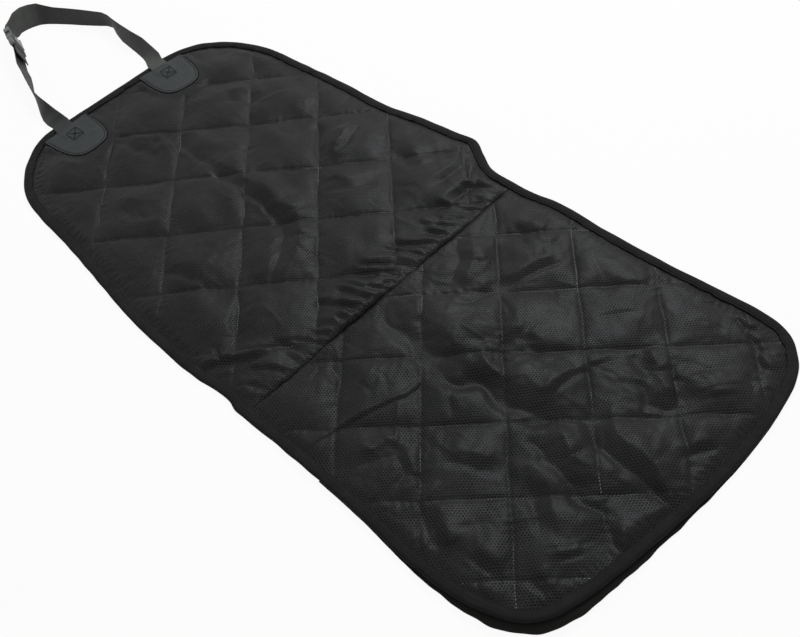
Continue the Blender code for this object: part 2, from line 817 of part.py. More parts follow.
def webbing(name, stations, steps, mat):
    """A strap of one thickness through stations, each the place of its two edges."""
    ends = [stations[0], *stations, stations[-1]]
    pairs = []
    for before, start, end, after in zip(ends, ends[1:], ends[2:], ends[3:]):
        length = (end[0] + end[1] - start[0] - start[1]).length / 2
        count = max(1, min(steps, round(length / 0.011)))
        for k in range(count):
            t = k / count
            pairs.append(
                tuple(spline_point(before[i], start[i], end[i], after[i], t) for i in (0, 1))
            )
    pairs.append(stations[-1])
    half = WEBBING_THICKNESS / 2
    sections = []
    for i, (low, high) in enumerate(pairs):
        previous, following = pairs[max(i - 1, 0)], pairs[min(i + 1, len(pairs) - 1)]
        ahead = following[0] + following[1] - previous[0] - previous[1]
        normal = ahead.cross(high - low).normalized() * half
        sections.append([low + normal, high + normal, high - normal, low - normal])
    mesh = bmesh.new()
    bridge_sections(mesh, sections, closed_path=False)
    return finish_piece(name, mesh, mat)


def strap_stations(centre_x, route):
    """The strap's end below its patch, its way over the binding, and its route past the top edge."""
    half = WEBBING_WIDTH / 2
    height = PATCH_BED_HEIGHT + GAP + WEBBING_THICKNESS / 2
    place = patch_place(centre_x)
    stations = []
    for y in (-WEBBING_UNDER_PATCH, -WEBBING_UNDER_PATCH / 2, 0.004):
        stations.append((place @ Vector((-half, y, height)), place @ Vector((half, y, height))))
    for low, high in route:
        shift = Vector((centre_x, TOP_Y, 0))
        stations.append((Vector(low) + shift, Vector(high) + shift))
    return stations


# Routes of the strap's two lengths, chosen by hand: lower edge and upper edge, from the strap's
# middle at its patch and from the back panel's top edge
LONG_ROUTE = (
    ((-0.0135, -0.001, 0.0081), (0.0165, 0.000, 0.0081)),
    ((-0.0055, 0.017, 0.0060), (0.0175, 0.006, 0.0155)),
    ((0.0003, 0.034, 0.0010), (0.0178, 0.025, 0.0210)),
    ((0.0030, 0.055, 0.0010), (0.0190, 0.050, 0.0250)),
    ((0.0050, 0.075, 0.0010), (0.0155, 0.078, 0.0288)),
    ((0.0075, 0.101, 0.0010), (0.0160, 0.106, 0.0285)),
    ((0.0136, 0.125, 0.0010), (0.0155, 0.128, 0.0306)),
    ((0.0215, 0.147, 0.0010), (0.0170, 0.146, 0.0306)),
    ((0.0180, 0.160, 0.0010), (0.0150, 0.160, 0.0308)),
    ((0.0087, 0.173, 0.0010), (0.0085, 0.174, 0.0308)),
    ((-0.0065, 0.196, 0.0010), (-0.0030, 0.199, 0.0304)),
    ((-0.0205, 0.219, 0.0010), (-0.0155, 0.223, 0.0302)),
    ((-0.0350, 0.241, 0.0010), (-0.0285, 0.247, 0.0300)),
    ((-0.0455, 0.255, 0.0010), (-0.0350, 0.267, 0.0295)),
    ((-0.0540, 0.263, 0.0010), (-0.0410, 0.280, 0.0310)),
    ((-0.0655, 0.268, 0.0010), (-0.0530, 0.289, 0.0312)),
    ((-0.0780, 0.271, 0.0010), (-0.0675, 0.294, 0.0312)),
    ((-0.0890, 0.271, 0.0010), (-0.0840, 0.290, 0.0312)),
    ((-0.0980, 0.266, 0.0008), (-0.0990, 0.276, 0.0325)),
)
SHORT_ROUTE = (
    ((-0.0130, -0.001, 0.0081), (0.0170, 0.000, 0.0081)),
    ((-0.0130, 0.015, 0.0060), (0.0130, 0.009, 0.0170)),
    ((-0.0090, 0.036, 0.0010), (0.0115, 0.027, 0.0200)),
    ((-0.0030, 0.053, 0.0010), (0.0095, 0.042, 0.0255)),
    ((0.0050, 0.071, 0.0010), (0.0085, 0.060, 0.0285)),
    ((0.0150, 0.094, 0.0010), (0.0110, 0.085, 0.0288)),
    ((0.0220, 0.110, 0.0010), (0.0160, 0.102, 0.0290)),
    ((0.0320, 0.129, 0.0010), (0.0220, 0.122, 0.0280)),
    ((0.0410, 0.148, 0.0010), (0.0290, 0.144, 0.0275)),
    ((0.0470, 0.168, 0.0010), (0.0350, 0.165, 0.0280)),
)


def main():
    clear_scene()
    quilted = material("quilted_oxford", (0.024, 0.025, 0.027), 0.85)
    tape = material("binding_tape", (0.017, 0.019, 0.017), 0.75)
    lining = material("skirt_cloth", (0.040, 0.042, 0.040), 0.85)
    leather = material("patch_leather", (0.052, 0.058, 0.063), 0.55)
    nylon = material("strap_webbing", (0.027, 0.029, 0.027), 0.65)
    plastic = material("buckle_plastic", (0.100, 0.104, 0.104), 0.40)

    quilted_panel("back_panel", 1, BACK_QUILT, quilted)
    quilted_panel("seat_panel", -1, SEAT_QUILT, quilted)
    edge_binding(tape)
    seat_skirt(lining)

    left, right = patch_centres()
    patch("patch_left", left, leather)
    patch("patch_right", right, leather)
    buckle_socket(plastic)
    buckle_plug(plastic)
    long_loop = loop_round_bar(SOCKET_BAR, 1, LOOP_TAIL)
    webbing("webbing_long", strap_stations(right, LONG_ROUTE) + long_loop, 3, nylon)
    short_loop = loop_round_bar(PLUG_BAR, -1, STRAP_TAIL)
    webbing("webbing_short", strap_stations(left, SHORT_ROUTE) + short_loop, 3, nylon)


main()
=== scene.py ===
"""Quilted pet cover for a front car seat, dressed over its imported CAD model.

Metres, +Z up, in the CAD model's own frame: +X across the cover, +Y from the seat panel over the
back panel to the headrest strap, and the cover lies on Z = 0.
"""

import math

import bpy
import numpy as np
from mathutils import Matrix, Vector
from mathutils.kdtree import KDTree


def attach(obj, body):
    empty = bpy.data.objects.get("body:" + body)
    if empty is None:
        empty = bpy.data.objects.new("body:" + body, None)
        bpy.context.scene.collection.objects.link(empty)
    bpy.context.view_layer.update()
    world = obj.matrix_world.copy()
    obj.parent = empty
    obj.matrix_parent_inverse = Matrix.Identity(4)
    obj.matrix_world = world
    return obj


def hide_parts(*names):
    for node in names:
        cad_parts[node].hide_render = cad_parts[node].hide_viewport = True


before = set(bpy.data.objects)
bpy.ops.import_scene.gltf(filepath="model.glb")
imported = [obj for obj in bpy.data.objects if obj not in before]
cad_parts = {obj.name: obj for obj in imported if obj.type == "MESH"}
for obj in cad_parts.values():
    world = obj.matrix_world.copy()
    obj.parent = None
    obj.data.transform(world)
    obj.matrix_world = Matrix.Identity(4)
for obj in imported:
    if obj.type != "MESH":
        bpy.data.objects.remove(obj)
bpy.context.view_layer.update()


def in_metres(table):
    """The same nested table, with its millimetres turned into metres."""
    if isinstance(table, tuple):
        return tuple(in_metres(entry) for entry in table)
    return table / 1000


# Panels, as in the CAD model
HALF_WIDTH = 0.260
SEAM_Y = -0.005
TOP_Y = 0.643
FRONT_Y = -0.485
GAP = 0.0003

# The outline: its steps while it is drawn, and how near it a place's inset is measured square to it
OUTLINE_FINENESS = 0.001
EDGE_BAND = 0.030

# The cover's edge beside the seam, in millimetres: distance from the seam, and reach beyond half
# the panel's width
BACK_RIGHT_SIDE = in_metres((
    (17, -2.5), (45, -1), (75, 15.5), (105, 31), (135, 26.5), (195, 19.5), (265, 6.5), (355, 3.5),
    (445, -3.5),
))
BACK_LEFT_SIDE = in_metres((
    (17, -1), (30, -4.5), (45, -5.5), (90, -0.5), (180, -0.5), (265, -6.5), (355, -18.5),
    (445, -29),
))
SEAT_RIGHT_SIDE = in_metres((
    (17, -2.5), (70, 4.5), (150, 2.5), (265, 5), (335, 9.5),
))
SEAT_LEFT_SIDE = in_metres((
    (17, -1), (85, -1.2), (205, 1),
))

# The corners, in millimetres: distance in from the far edge, and reach beyond half the width
BACK_RIGHT_SHOULDER = in_metres((
    (117, -13), (56.5, -40), (32.5, -60), (16, -80), (6, -100), (0, -122), (0, -200),
))
BACK_LEFT_SHOULDER = in_metres((
    (147, -33.5), (87, -47), (64, -60), (39, -80), (21.5, -100), (8, -120), (0, -142), (0, -200),
))
SEAT_RIGHT_CORNER = in_metres((
    (95, 11.5), (65, 8.5), (35, -8.5), (24.5, -20), (12, -40), (5, -60), (0, -90),
))
SEAT_LEFT_CORNER = in_metres((
    (178, 6), (128, 3), (85, -7), (55, -22), (37, -43), (26, -72), (18, -110), (9, -170),
))

# Edge binding, with noises on its inner lip, its top and its outer edge. Each row of a noise here
# and below is its height or share, the length of its waves and its seed.
BINDING_WIDTH = 0.014
BINDING_HEIGHT = 0.0065
BINDING_WALL = 0.0016
BINDING_INSIDE = 0.0022 - GAP
LIP_INSET = BINDING_WIDTH + GAP
BINDING_STEP = 0.002
LIP_STRAY = ((0.0007, 0.024, 91), (0.0004, 0.011, 92))
TAPE_RISE = ((0.0004, 0.019, 93), (0.00018, 0.0075, 96))
TAPE_SWELL = ((0.0004, 0.035, 94),)

# Quilting: angle of one set of lines, spacing of both sets and a point where two lines cross
SEAT_QUILT = dict(angle=math.radians(42.82), across=0.1011, along=0.1011, cross=(0.0143, -0.1881))
BACK_QUILT = dict(angle=math.radians(46.60), across=0.1070, along=0.1100, cross=(0.0260, 0.3180))
QUILT_STRAY = 0.0011
QUILT_STRAY_LENGTH = 0.070
QUILT_SEEDS = (11, 12)
QUILT_PUFF = 0.0052
GROOVE_DEPTH = 0.0011
GROOVE_WIDTH = 0.0022
PUCKER_PITCH = 0.013
PUCKER_HEIGHT = 0.0003
PUCKER_REACH = 0.009

# Cloth: its grid, how far under the binding it starts, the honeycomb pressed into it, and how it
# meets the binding and the seam
CLOTH_STEP = 0.0024
CLOTH_INSET = 0.006
STRIP_CELLS = 16
UNDERSIDE_HEIGHT = 0.0003
HONEYCOMB_PITCH = 0.0039
HONEYCOMB_TURN = 0.80
LEAST_HEIGHT = 0.0036
LEAST_BLEND = 0.0006
FLAT_MARGIN = 0.055
EDGE_ROLL = 0.016
SEAM_HEIGHT = 0.0036
SEAM_FLAT = 0.0008
SEAM_ROLL = 0.0048
SEAM_LAP = 0.0002
SEAM_STRAY = ((0.0011, 0.045, 81), (0.0005, 0.014, 82))
SEAM_STRAY_REACH = 0.016

# Thread: length and thickness of a stitch, the pitch of each row, and how it lies in its seam
QUILT_THREAD = (0.0030, 0.00085)
BINDING_THREAD = (0.0030, 0.0008)
PATCH_THREAD = (0.0026, 0.0010)
STITCH_HEIGHT = 0.0060
STITCH_PITCH = 0.0042
STITCH_AHEAD = 0.002
BINDING_STITCH_PITCH = 0.0040
BINDING_STITCH_INSET = 0.0026
BINDING_STITCH_DEPTH = 0.0009
PATCH_STITCH_PITCH = 0.0030

# The seat panel lies on its tucked skirt, and its near left corner stands up on it
SKIRT_LIFT = 0.0023
CORNER_LIFT = 0.0120
CORNER_SIDE_REACH = 0.120
CORNER_FRONT_REACH = 0.170
SKIRT_START = 0.135
SKIRT_RISE_FROM = 0.020
SKIRT_RISE_RUN = SKIRT_START - 0.040
SKIRT_TUCK = 0.055
SKIRT_HOLD = 0.010
SKIRT_THICKNESS = 0.0007
SKIRT_BULGE = 0.0100

# Patches, the row of thread round their edge, and the square sewn over the webbing below each
PATCH_SPACING = 0.1913
PATCH_MIDDLE_X = 0.0070
PATCH_WIDTH = 0.0820
PATCH_DEPTH = 0.078
PATCH_FULLNESS = 3.2
PATCH_TURN = math.radians(4.0)
PATCH_THICKNESS = 0.0030
PATCH_EDGE_INSET = 0.0172
PATCH_BED_HEIGHT = 0.0070
PATCH_ROW_INSET = 0.0033
PATCH_THREAD_RISE = 0.0011
BOX_LOW = -0.036
BOX_HIGH = -0.0145
BOX_WIDTH = 0.0200

# Strap and buckle
WEBBING_WIDTH = 0.030
WEBBING_THICKNESS = 0.0015
WEBBING_UNDER_PATCH = 0.026
WEBBING_STIFFNESS = 0.80
WEBBING_STEP = 0.003
LOOP_STEP = 0.006
HERRINGBONE_WIDTH = 0.0025
HERRINGBONE_PITCH = 0.0016
WARP_PITCH = 0.0012
BUCKLE_WIDTH = 0.0385
BUCKLE_PLACE = (-0.0160, 0.8670)
BUCKLE_HEADING = math.radians(250.0)
BUCKLE_LEAN = math.radians(75.0)
SOCKET_LENGTH = 0.0330
SOCKET_THICKNESS = 0.0105
SOCKET_MOUTH = 0.004
PLUG_LENGTH = 0.0205
BAR_RADIUS = 0.0016
BAR_SETBACK = 0.0022
LEGS_APART = 0.0013
LEGS_START = 0.0085
LOOP_TAIL = 0.014
STRAP_TAIL = 0.030
SOCKET_BAR = SOCKET_MOUTH - SOCKET_LENGTH + BAR_SETBACK
PLUG_BAR = SOCKET_MOUTH + GAP + PLUG_LENGTH - BAR_SETBACK

# Routes of the strap's two lengths in millimetres, as in the CAD model: lower edge and upper edge,
# from the strap's middle at its patch and from the back panel's top edge
LONG_ROUTE = in_metres((
    ((-13.5, -1, 8.1), (16.5, 0, 8.1)), ((-5.5, 17, 6), (17.5, 6, 15.5)),
    ((0.3, 34, 1), (17.8, 25, 21)), ((3, 55, 1), (19, 50, 25)), ((5, 75, 1), (15.5, 78, 28.8)),
    ((7.5, 101, 1), (16, 106, 28.5)), ((13.6, 125, 1), (15.5, 128, 30.6)),
    ((21.5, 147, 1), (17, 146, 30.6)), ((18, 160, 1), (15, 160, 30.8)),
    ((8.7, 173, 1), (8.5, 174, 30.8)), ((-6.5, 196, 1), (-3, 199, 30.4)),
    ((-20.5, 219, 1), (-15.5, 223, 30.2)), ((-35, 241, 1), (-28.5, 247, 30)),
    ((-45.5, 255, 1), (-35, 267, 29.5)), ((-54, 263, 1), (-41, 280, 31)),
    ((-65.5, 268, 1), (-53, 289, 31.2)), ((-78, 271, 1), (-67.5, 294, 31.2)),
    ((-89, 271, 1), (-84, 290, 31.2)), ((-98, 266, 0.8), (-99, 276, 32.5)),
))
SHORT_ROUTE = in_metres((
    ((-13, -1, 8.1), (17, 0, 8.1)), ((-13, 15, 6), (13, 9, 17)), ((-9, 36, 1), (11.5, 27, 20)),
    ((-3, 53, 1), (9.5, 42, 25.5)), ((5, 71, 1), (8.5, 60, 28.5)), ((15, 94, 1), (11, 85, 28.8)),
    ((22, 110, 1), (16, 102, 29)), ((32, 129, 1), (22, 122, 28)), ((41, 148, 1), (29, 144, 27.5)),
    ((47, 168, 1), (35, 165, 28)),
))

# Folds left in the lying cloth, in millimetres: the way of the deepest line, towards +X or -Y,
# how wide the fold is on that line's far side, which faces the viewer, how wide it is on the near
# side, and its depth
SEAT_FOLDS = in_metres((
    (((-34, -26), (-40, -61), (-47, -103), (-56, -155), (-47, -202)), 38, 22, 7),
    (((-52, -170), (-46, -202), (-37, -239), (-31, -277), (-22, -299)), 36, 20, 7.2),
    (((-56, -292), (-70, -322), (-68, -340), (-84, -385), (-90, -402)), 26, 14, 6.2),
    (((15, -318), (-18, -362), (-22, -415), (-29, -447)), 24, 14, 6),
    (((112, -308), (96, -345)), 24, 12, 5), (((84, -336), (70, -366), (86, -398)), 26, 12, 5.4),
    (((122, -368), (96, -398)), 30, 12, 5.4), (((126, -8), (92, -44), (58, -64)), 22, 16, 5),
    (((1, -279), (21, -276), (51, -279), (98, -303)), 10, 5, 2.2),
    (((98, -122), (150, -137), (178, -152)), 14, 6, 3.4), (((36, -95), (80, -116)), 13, 5, 3.4),
    (((-236, -104), (-196, -113), (-150, -128), (-110, -144), (-69, -142)), 5, 3, 2.4),
    (((-212, -168), (-186, -184), (-160, -186)), 16, 8, 3.6),
    (((-172, -188), (-190, -214), (-212, -216)), 12, 8, 2.8),
    (((-208, -258), (-236, -308)), 18, 10, 3.6), (((-100, -320), (-150, -380)), 22, 12, 3.6),
    (((240, -372), (232, -396)), 9, 5, 3), (((226, -402), (214, -424)), 8, 4, 3.2),
    (((204, -420), (192, -442)), 9, 5, 3), (((176, -430), (160, -452)), 10, 5, 2.8),
    (((190, -60), (170, -110)), 22, 12, 3), (((210, -180), (176, -226)), 24, 12, 2.8),
    (((-130, -30), (-150, -80)), 24, 12, 3), (((0, -140), (40, -190), (36, -230)), 20, 12, 3),
    (((-150, -240), (-120, -290)), 18, 10, 2.8), (((30, -440), (70, -462)), 12, 6, 3),
    (((-200, -405), (-199, -432)), 14, 7, 3.4), (((-90, -430), (-113, -455)), 12, 6, 3.2),
    (((-212, -283), (-232, -308)), 12, 6, 3.4), (((-22, -430), (-28, -461)), 12, 6, 3.4),
    (((-219, -340), (-218, -372)), 12, 6, 2.8), (((-93, -384), (-82, -414)), 10, 5, 2.6),
    (((-160, -412), (-136, -430)), 8, 4, 2.4),
))
BACK_FOLDS = in_metres((
    (((-5, 372), (1, 298), (-4, 213), (-25, 177), (-72, 142), (-103, 119)), 20, 9, 4.2),
    (((3, 480), (8, 400), (4, 335)), 28, 14, 3), (((160, 300), (112, 252)), 24, 12, 3.4),
    (((147, 242), (200, 253)), 13, 6, 2.8),
    (((-258, 82), (-228, 76), (-202, 54), (-172, 38)), 13, 5, 6.6),
    (((180, 80), (240, 74), (287, 98)), 13, 8, 3.8),
    (((150, 42), (215, 34), (262, 54)), 14, 7, 4),
    (((-118, 150), (-170, 120), (-183, 95)), 20, 10, 3), (((110, 470), (150, 420)), 28, 14, 3),
    (((60, 560), (130, 520)), 24, 12, 2.6), (((-60, 540), (-40, 480), (-46, 440)), 26, 14, 2.8),
    (((-150, 400), (-110, 350)), 26, 12, 2.6), (((-180, 260), (-150, 200)), 26, 12, 3),
    (((80, 190), (130, 150)), 22, 10, 3.2), (((200, 180), (180, 130)), 22, 10, 3),
))
FOLD_REACH = 3.4
FOLD_TROUGH = 0.6
FOLD_CREST = 0.8
FOLD_STRAY = ((0.0034, 0.064, 5), (0.0008, 0.026, 6))
FOLD_RAGGED = ((0.045, 0.021, 7), (0.016, 0.011, 8))

# Gathers along the seam: pitch, and the range that each one's sizes are drawn from
GATHER_SEED = 37
GATHER_PITCH = 0.0145
GATHER_LENGTH = (0.016, 0.062)
GATHER_LEAN = (0.25, 0.95)
GATHER_BEND = (-0.004, 0.004)
GATHER_FAR = (0.006, 0.012)
GATHER_NEAR = (0.003, 0.006)
GATHER_DEPTH = (0.0018, 0.0042)

# Swells: height, length and seed. Creases: height, length of the winding lines that they follow,
# width, seed, heading, and how much more or less of the cloth than half has them. The seeds count
# on from the panel's own.
SWELLS = ((0.0012, 0.150, 0), (0.0008, 0.060, 1), (0.00012, 0.018, 18))
CREASES = (
    (0.0013, 0.110, 0.0040, 2, 0.8, 0.0),
    (0.0010, 0.080, 0.0030, 6, 2.4, -0.1),
    (0.0006, 0.045, 0.0020, 9, 1.6, -0.1),
    (0.00038, 0.030, 0.0016, 12, 0.2, 0.2),
    (0.00036, 0.026, 0.0016, 15, 2.0, 0.1),
)

# Camera: place, and the directions to its right, up and ahead
CAMERA_PLACE = (-0.56816, -0.70881, 1.06406)
CAMERA_RIGHT = (0.68985804, -0.71779447, -0.09416467)
CAMERA_UP = (0.60406551, 0.49904464, 0.62133671)
CAMERA_AHEAD = (0.39899968, 0.48551575, -0.77786484)
CAMERA_LENS = 47.375
CAMERA_SENSOR = 36.0

# White floor and world, and one large soft light
FLOOR_REACH = 12.0
FLOOR_DROP = 0.0003
FLOOR_GREY = 0.80
FLOOR_GLOW = 0.94
WORLD_LIGHT = 0.32
KEY_PLACE = (1.60, 0.72, 2.0)
KEY_TARGET = (0.0, 0.05, 0.0)
KEY_SIZE = (1.3, 0.9)
KEY_POWER = 50


def make_camera():
    """The photo's camera, fitted to the quilting lines and the straight edges."""
    data = bpy.data.cameras.new("camera")
    data.sensor_fit = "HORIZONTAL"
    data.sensor_width = CAMERA_SENSOR
    data.lens = CAMERA_LENS
    data.clip_start = 0.01
    camera = bpy.data.objects.new("camera", data)
    columns = [Vector(CAMERA_RIGHT), Vector(CAMERA_UP), -Vector(CAMERA_AHEAD)]
    turn = Matrix(columns).transposed().to_4x4()
    camera.matrix_world = Matrix.Translation(CAMERA_PLACE) @ turn
    bpy.context.collection.objects.link(camera)
    bpy.context.scene.camera = camera


def smooth_step(value):
    """0 up to 0 and 1 from 1 on, with a soft rise between."""
    t = np.clip(value, 0.0, 1.0)
    return t * t * (3 - 2 * t)


def hump(distance, reach):
    """1 at distance 0, dying out softly at about the reach."""
    return np.exp(-((distance / reach) ** 2))


def ripple(place, pitch, shift):
    """Even waves of one pitch, shifted by an angle."""
    return np.sin(place * 2 * math.pi / pitch + shift)


def layers(x, y, table):
    """A sum of noises, each given by its height, the length of its waves and its seed."""
    return sum(height * waves(x, y, length, seed) for height, length, seed in table)


def waves(x, y, length, seed, heading=None, spread=math.pi / 2, count=14):
    """Smooth repeatable noise, about -1 to 1, with waves of about one length.

    With a heading, the crests run mainly along it."""
    rng = np.random.default_rng(seed)
    total = np.zeros_like(x)
    for _ in range(count):
        crest = rng.uniform(-spread, spread) + (heading or 0.0)
        size = 2 * math.pi / (length * rng.uniform(0.75, 1.5))
        phase = rng.uniform(0, 2 * math.pi)
        total += np.sin(size * (y * math.cos(crest) - x * math.sin(crest)) + phase)
    return total / math.sqrt(count) * 0.9


def slope_at(before, point, after):
    """The curve's direction at a point, where the nearer neighbour counts for more."""
    behind, ahead = np.linalg.norm(point - before), np.linalg.norm(after - point)
    if behind == 0 or ahead == 0:
        return (after - before) / (behind + ahead)
    both = (point - before) * (ahead / behind) + (after - point) * (behind / ahead)
    return both / (behind + ahead)


def spline_point(before, start, end, after, t):
    """A smooth curve from start to end that also heeds their neighbours."""
    span = np.linalg.norm(end - start)
    return (
        start * (2 * t**3 - 3 * t**2 + 1)
        + slope_at(before, start, end) * (span * (t**3 - 2 * t**2 + t))
        + end * (3 * t**2 - 2 * t**3)
        + slope_at(start, end, after) * (span * (t**3 - t**2))
    )


def cover_outline():
    """The cover's outer edge, anticlockwise from the seam's right end, in even steps."""
    # Side of the cover, the line that the table's distances start from, and which way they run
    turns = (
        (1, SEAM_Y, 1, ((0, BACK_RIGHT_SIDE[0][1]), *BACK_RIGHT_SIDE)),
        (1, TOP_Y, -1, BACK_RIGHT_SHOULDER),
        (-1, TOP_Y, -1, BACK_LEFT_SHOULDER[::-1]),
        (-1, SEAM_Y, 1, (*BACK_LEFT_SIDE[::-1], (0, BACK_LEFT_SIDE[0][1]))),
        (-1, SEAM_Y, -1, SEAT_LEFT_SIDE),
        (-1, FRONT_Y, 1, SEAT_LEFT_CORNER),
        (1, FRONT_Y, 1, SEAT_RIGHT_CORNER[::-1]),
        (1, SEAM_Y, -1, SEAT_RIGHT_SIDE[::-1]),
    )
    points = []
    for side, start_y, way, table in turns:
        points += [(side * (HALF_WIDTH + reach), start_y + way * away) for away, reach in table]
    points = np.array(points)
    fine = []
    for i in range(len(points)):
        before, start, end, after = (points[(i + k - 1) % len(points)] for k in range(4))
        steps = max(4, int(np.linalg.norm(end - start) / OUTLINE_FINENESS))
        fine += [spline_point(before, start, end, after, k / steps) for k in range(steps)]
    fine = np.array(fine)
    sides = np.linalg.norm(np.roll(fine, -1, axis=0) - fine, axis=1)
    place = np.concatenate([[0], np.cumsum(sides)])
    closed = np.vstack([fine, fine[:1]])
    count = round(place[-1] / BINDING_STEP)
    at = np.linspace(0, place[-1], count, endpoint=False)
    return np.stack([np.interp(at, place, closed[:, i]) for i in (0, 1)], axis=1), at


OUTLINE, OUTLINE_AT = cover_outline()
OUTLINE_LENGTH = OUTLINE_AT[-1] + BINDING_STEP
AHEAD = np.roll(OUTLINE, -1, axis=0) - np.roll(OUTLINE, 1, axis=0)
AHEAD /= np.linalg.norm(AHEAD, axis=1)[:, None]
OUTWARD = np.stack([AHEAD[:, 1], -AHEAD[:, 0]], axis=1)
EDGE_TREE = KDTree(len(OUTLINE))
for number, spot in enumerate(OUTLINE):
    EDGE_TREE.insert((spot[0], spot[1], 0), number)
EDGE_TREE.balance()


def edge_distance(x, y):
    """Distance in from the outline, below 0 outside it, and the place along the outline."""
    inset, along = np.empty_like(x), np.empty_like(x)
    for i in range(len(x)):
        _, near, distance = EDGE_TREE.find((x[i], y[i], 0))
        gap = np.array((x[i], y[i])) - OUTLINE[near]
        inwards = -float(gap @ OUTWARD[near])
        inset[i] = inwards if distance < EDGE_BAND else math.copysign(distance, inwards)
        along[i] = OUTLINE_AT[near] + float(gap @ AHEAD[near])
    return inset, along


def corner_rise(x, y):
    """1 at the seat panel's near left corner, falling to 0 along both of its edges."""
    across = np.maximum(x + HALF_WIDTH, 0.0) / CORNER_FRONT_REACH
    along = np.maximum(y - FRONT_Y, 0.0) / CORNER_SIDE_REACH
    return np.exp(-(across**2) - along**2)


def lift(x, y):
    """How far the lying cover is off the surface below it."""
    on_skirt = smooth_step((SEAM_Y - SKIRT_RISE_FROM - y) / SKIRT_RISE_RUN)
    return SKIRT_LIFT * on_skirt + CORNER_LIFT * corner_rise(x, y) * on_skirt


def fold_shape(side, far, near):
    """A fold's cut: a straight slope up its far side to a low crest, and a short near side."""
    rise = side / far
    up = FOLD_CREST * np.exp(-((rise - 1) ** 2) / 1.1)
    up = np.where(rise < 1, -FOLD_TROUGH + (FOLD_TROUGH + FOLD_CREST) * rise, up)
    return np.where(side > 0, up, -FOLD_TROUGH * (1 - smooth_step(-side / near)))


def fold_heights(x, y, folds):
    """The heights of all the folds of one panel."""
    total = np.zeros_like(x)
    stray = layers(x, y, FOLD_STRAY)
    ragged = 1 + layers(x, y, FOLD_RAGGED)
    for points, far, near, depth in folds:
        reach = FOLD_REACH * far
        low, high = np.min(points, axis=0) - reach, np.max(points, axis=0) + reach
        held = np.nonzero((x > low[0]) & (x < high[0]) & (y > low[1]) & (y < high[1]))[0]
        if len(held):
            cut = one_fold(x[held], y[held], stray[held], ragged[held], points, far, near)
            total[held] += depth * cut
    return total


def one_fold(x, y, stray, ragged, points, far, near):
    """One fold along its line of points, 1 deep, fading at both ends."""
    nearest = np.full_like(x, 1.0)
    side, place, beyond = np.zeros_like(x), np.zeros_like(x), np.zeros_like(x)
    run = 0.0
    for (ax, ay), (bx, by) in zip(points, points[1:]):
        length = math.hypot(bx - ax, by - ay)
        dx, dy = (bx - ax) / length, (by - ay) / length
        share = (x - ax) * dx + (y - ay) * dy
        held = np.clip(share, 0, length)
        distance = np.hypot(x - ax - dx * held, y - ay - dy * held)
        closer = distance < nearest
        side = np.where(closer, dx * (y - ay) - dy * (x - ax), side)
        place = np.where(closer, run + held, place)
        beyond = np.where(closer, np.abs(share - held), beyond)
        nearest = np.minimum(nearest, distance)
        run += length
    fade = smooth_step(0.35 + np.minimum(place, run - place) / (0.3 * run))
    fade *= 1 - smooth_step(beyond / (0.6 * far))
    return fade * fold_shape(side + stray * min(far / 0.02, 1.5), far * ragged, near)


def seam_gathers():
    """Short slanting folds that run into the seam from the back panel, all a little different."""
    rng = np.random.default_rng(GATHER_SEED)
    folds = []
    for k in range(int(1.9 * HALF_WIDTH / GATHER_PITCH)):
        x = -0.95 * HALF_WIDTH + (k + rng.uniform(-0.4, 0.4)) * GATHER_PITCH
        length = rng.uniform(*GATHER_LENGTH)
        lean = rng.uniform(*GATHER_LEAN)
        bend = rng.uniform(*GATHER_BEND)
        stronger = 0.65 + 0.35 * min(1.0, max(0.0, (x + 0.16) / 0.14))
        middle = (x - 0.45 * lean * length + bend, 0.5 * length)
        way = ((x - lean * length, length), middle, (x, 0.001))
        far = rng.uniform(*GATHER_FAR)
        near = rng.uniform(*GATHER_NEAR)
        folds.append((way, far, near, rng.uniform(*GATHER_DEPTH) * stronger))
    return tuple(folds)


def quilt_stray(x, y, seed):
    """How far a quilting line wanders from its straight course."""
    return QUILT_STRAY * waves(x, y, QUILT_STRAY_LENGTH, seed)


def quilt_lines(x, y, quilt):
    """Distance to the nearest line of each set, and the place along that line."""
    offset_x = x + quilt_stray(x, y, QUILT_SEEDS[0]) - quilt["cross"][0]
    offset_y = y + quilt_stray(x, y, QUILT_SEEDS[1]) - quilt["cross"][1]
    cos, sin = math.cos(quilt["angle"]), math.sin(quilt["angle"])
    along, across = offset_x * cos + offset_y * sin, offset_y * cos - offset_x * sin
    found = []
    sets = ((along, across, quilt["along"]), (across, along, quilt["across"]))
    for place, other, spacing in sets:
        share = (place / spacing) % 1.0
        found.append((np.minimum(share, 1 - share) * spacing, other, spacing))
    return found


def quilt_height(x, y, quilt, fullness):
    """The quilting's pillows, between 0 and 1 full, and the puckers beside its lines."""
    puff = np.ones_like(x)
    detail = np.zeros_like(x)
    for distance, along, spacing in quilt_lines(x, y, quilt):
        share = np.clip(2 * distance / spacing, 0, 1)
        puff *= 0.45 * (1 - (1 - share) ** 4) + 0.55 * (1 - (1 - share) ** 2)
        detail -= GROOVE_DEPTH * hump(distance, GROOVE_WIDTH)
        pucker = ripple(along, PUCKER_PITCH, 2.5 * waves(x, y, 0.05, 21))
        strength = np.clip(0.6 + 0.8 * waves(x, y, 0.09, 22), 0, 1.6)
        detail += PUCKER_HEIGHT * strength * pucker * hump(distance, PUCKER_REACH)
    return STITCH_HEIGHT + QUILT_PUFF * puff * fullness + detail


def patch_centres():
    """Where the left and the right patch are along X."""
    return [PATCH_MIDDLE_X - PATCH_SPACING / 2, PATCH_MIDDLE_X + PATCH_SPACING / 2]


def patch_turn(centre_x):
    """Each patch is turned a little towards the middle."""
    return math.copysign(PATCH_TURN, PATCH_MIDDLE_X - centre_x)


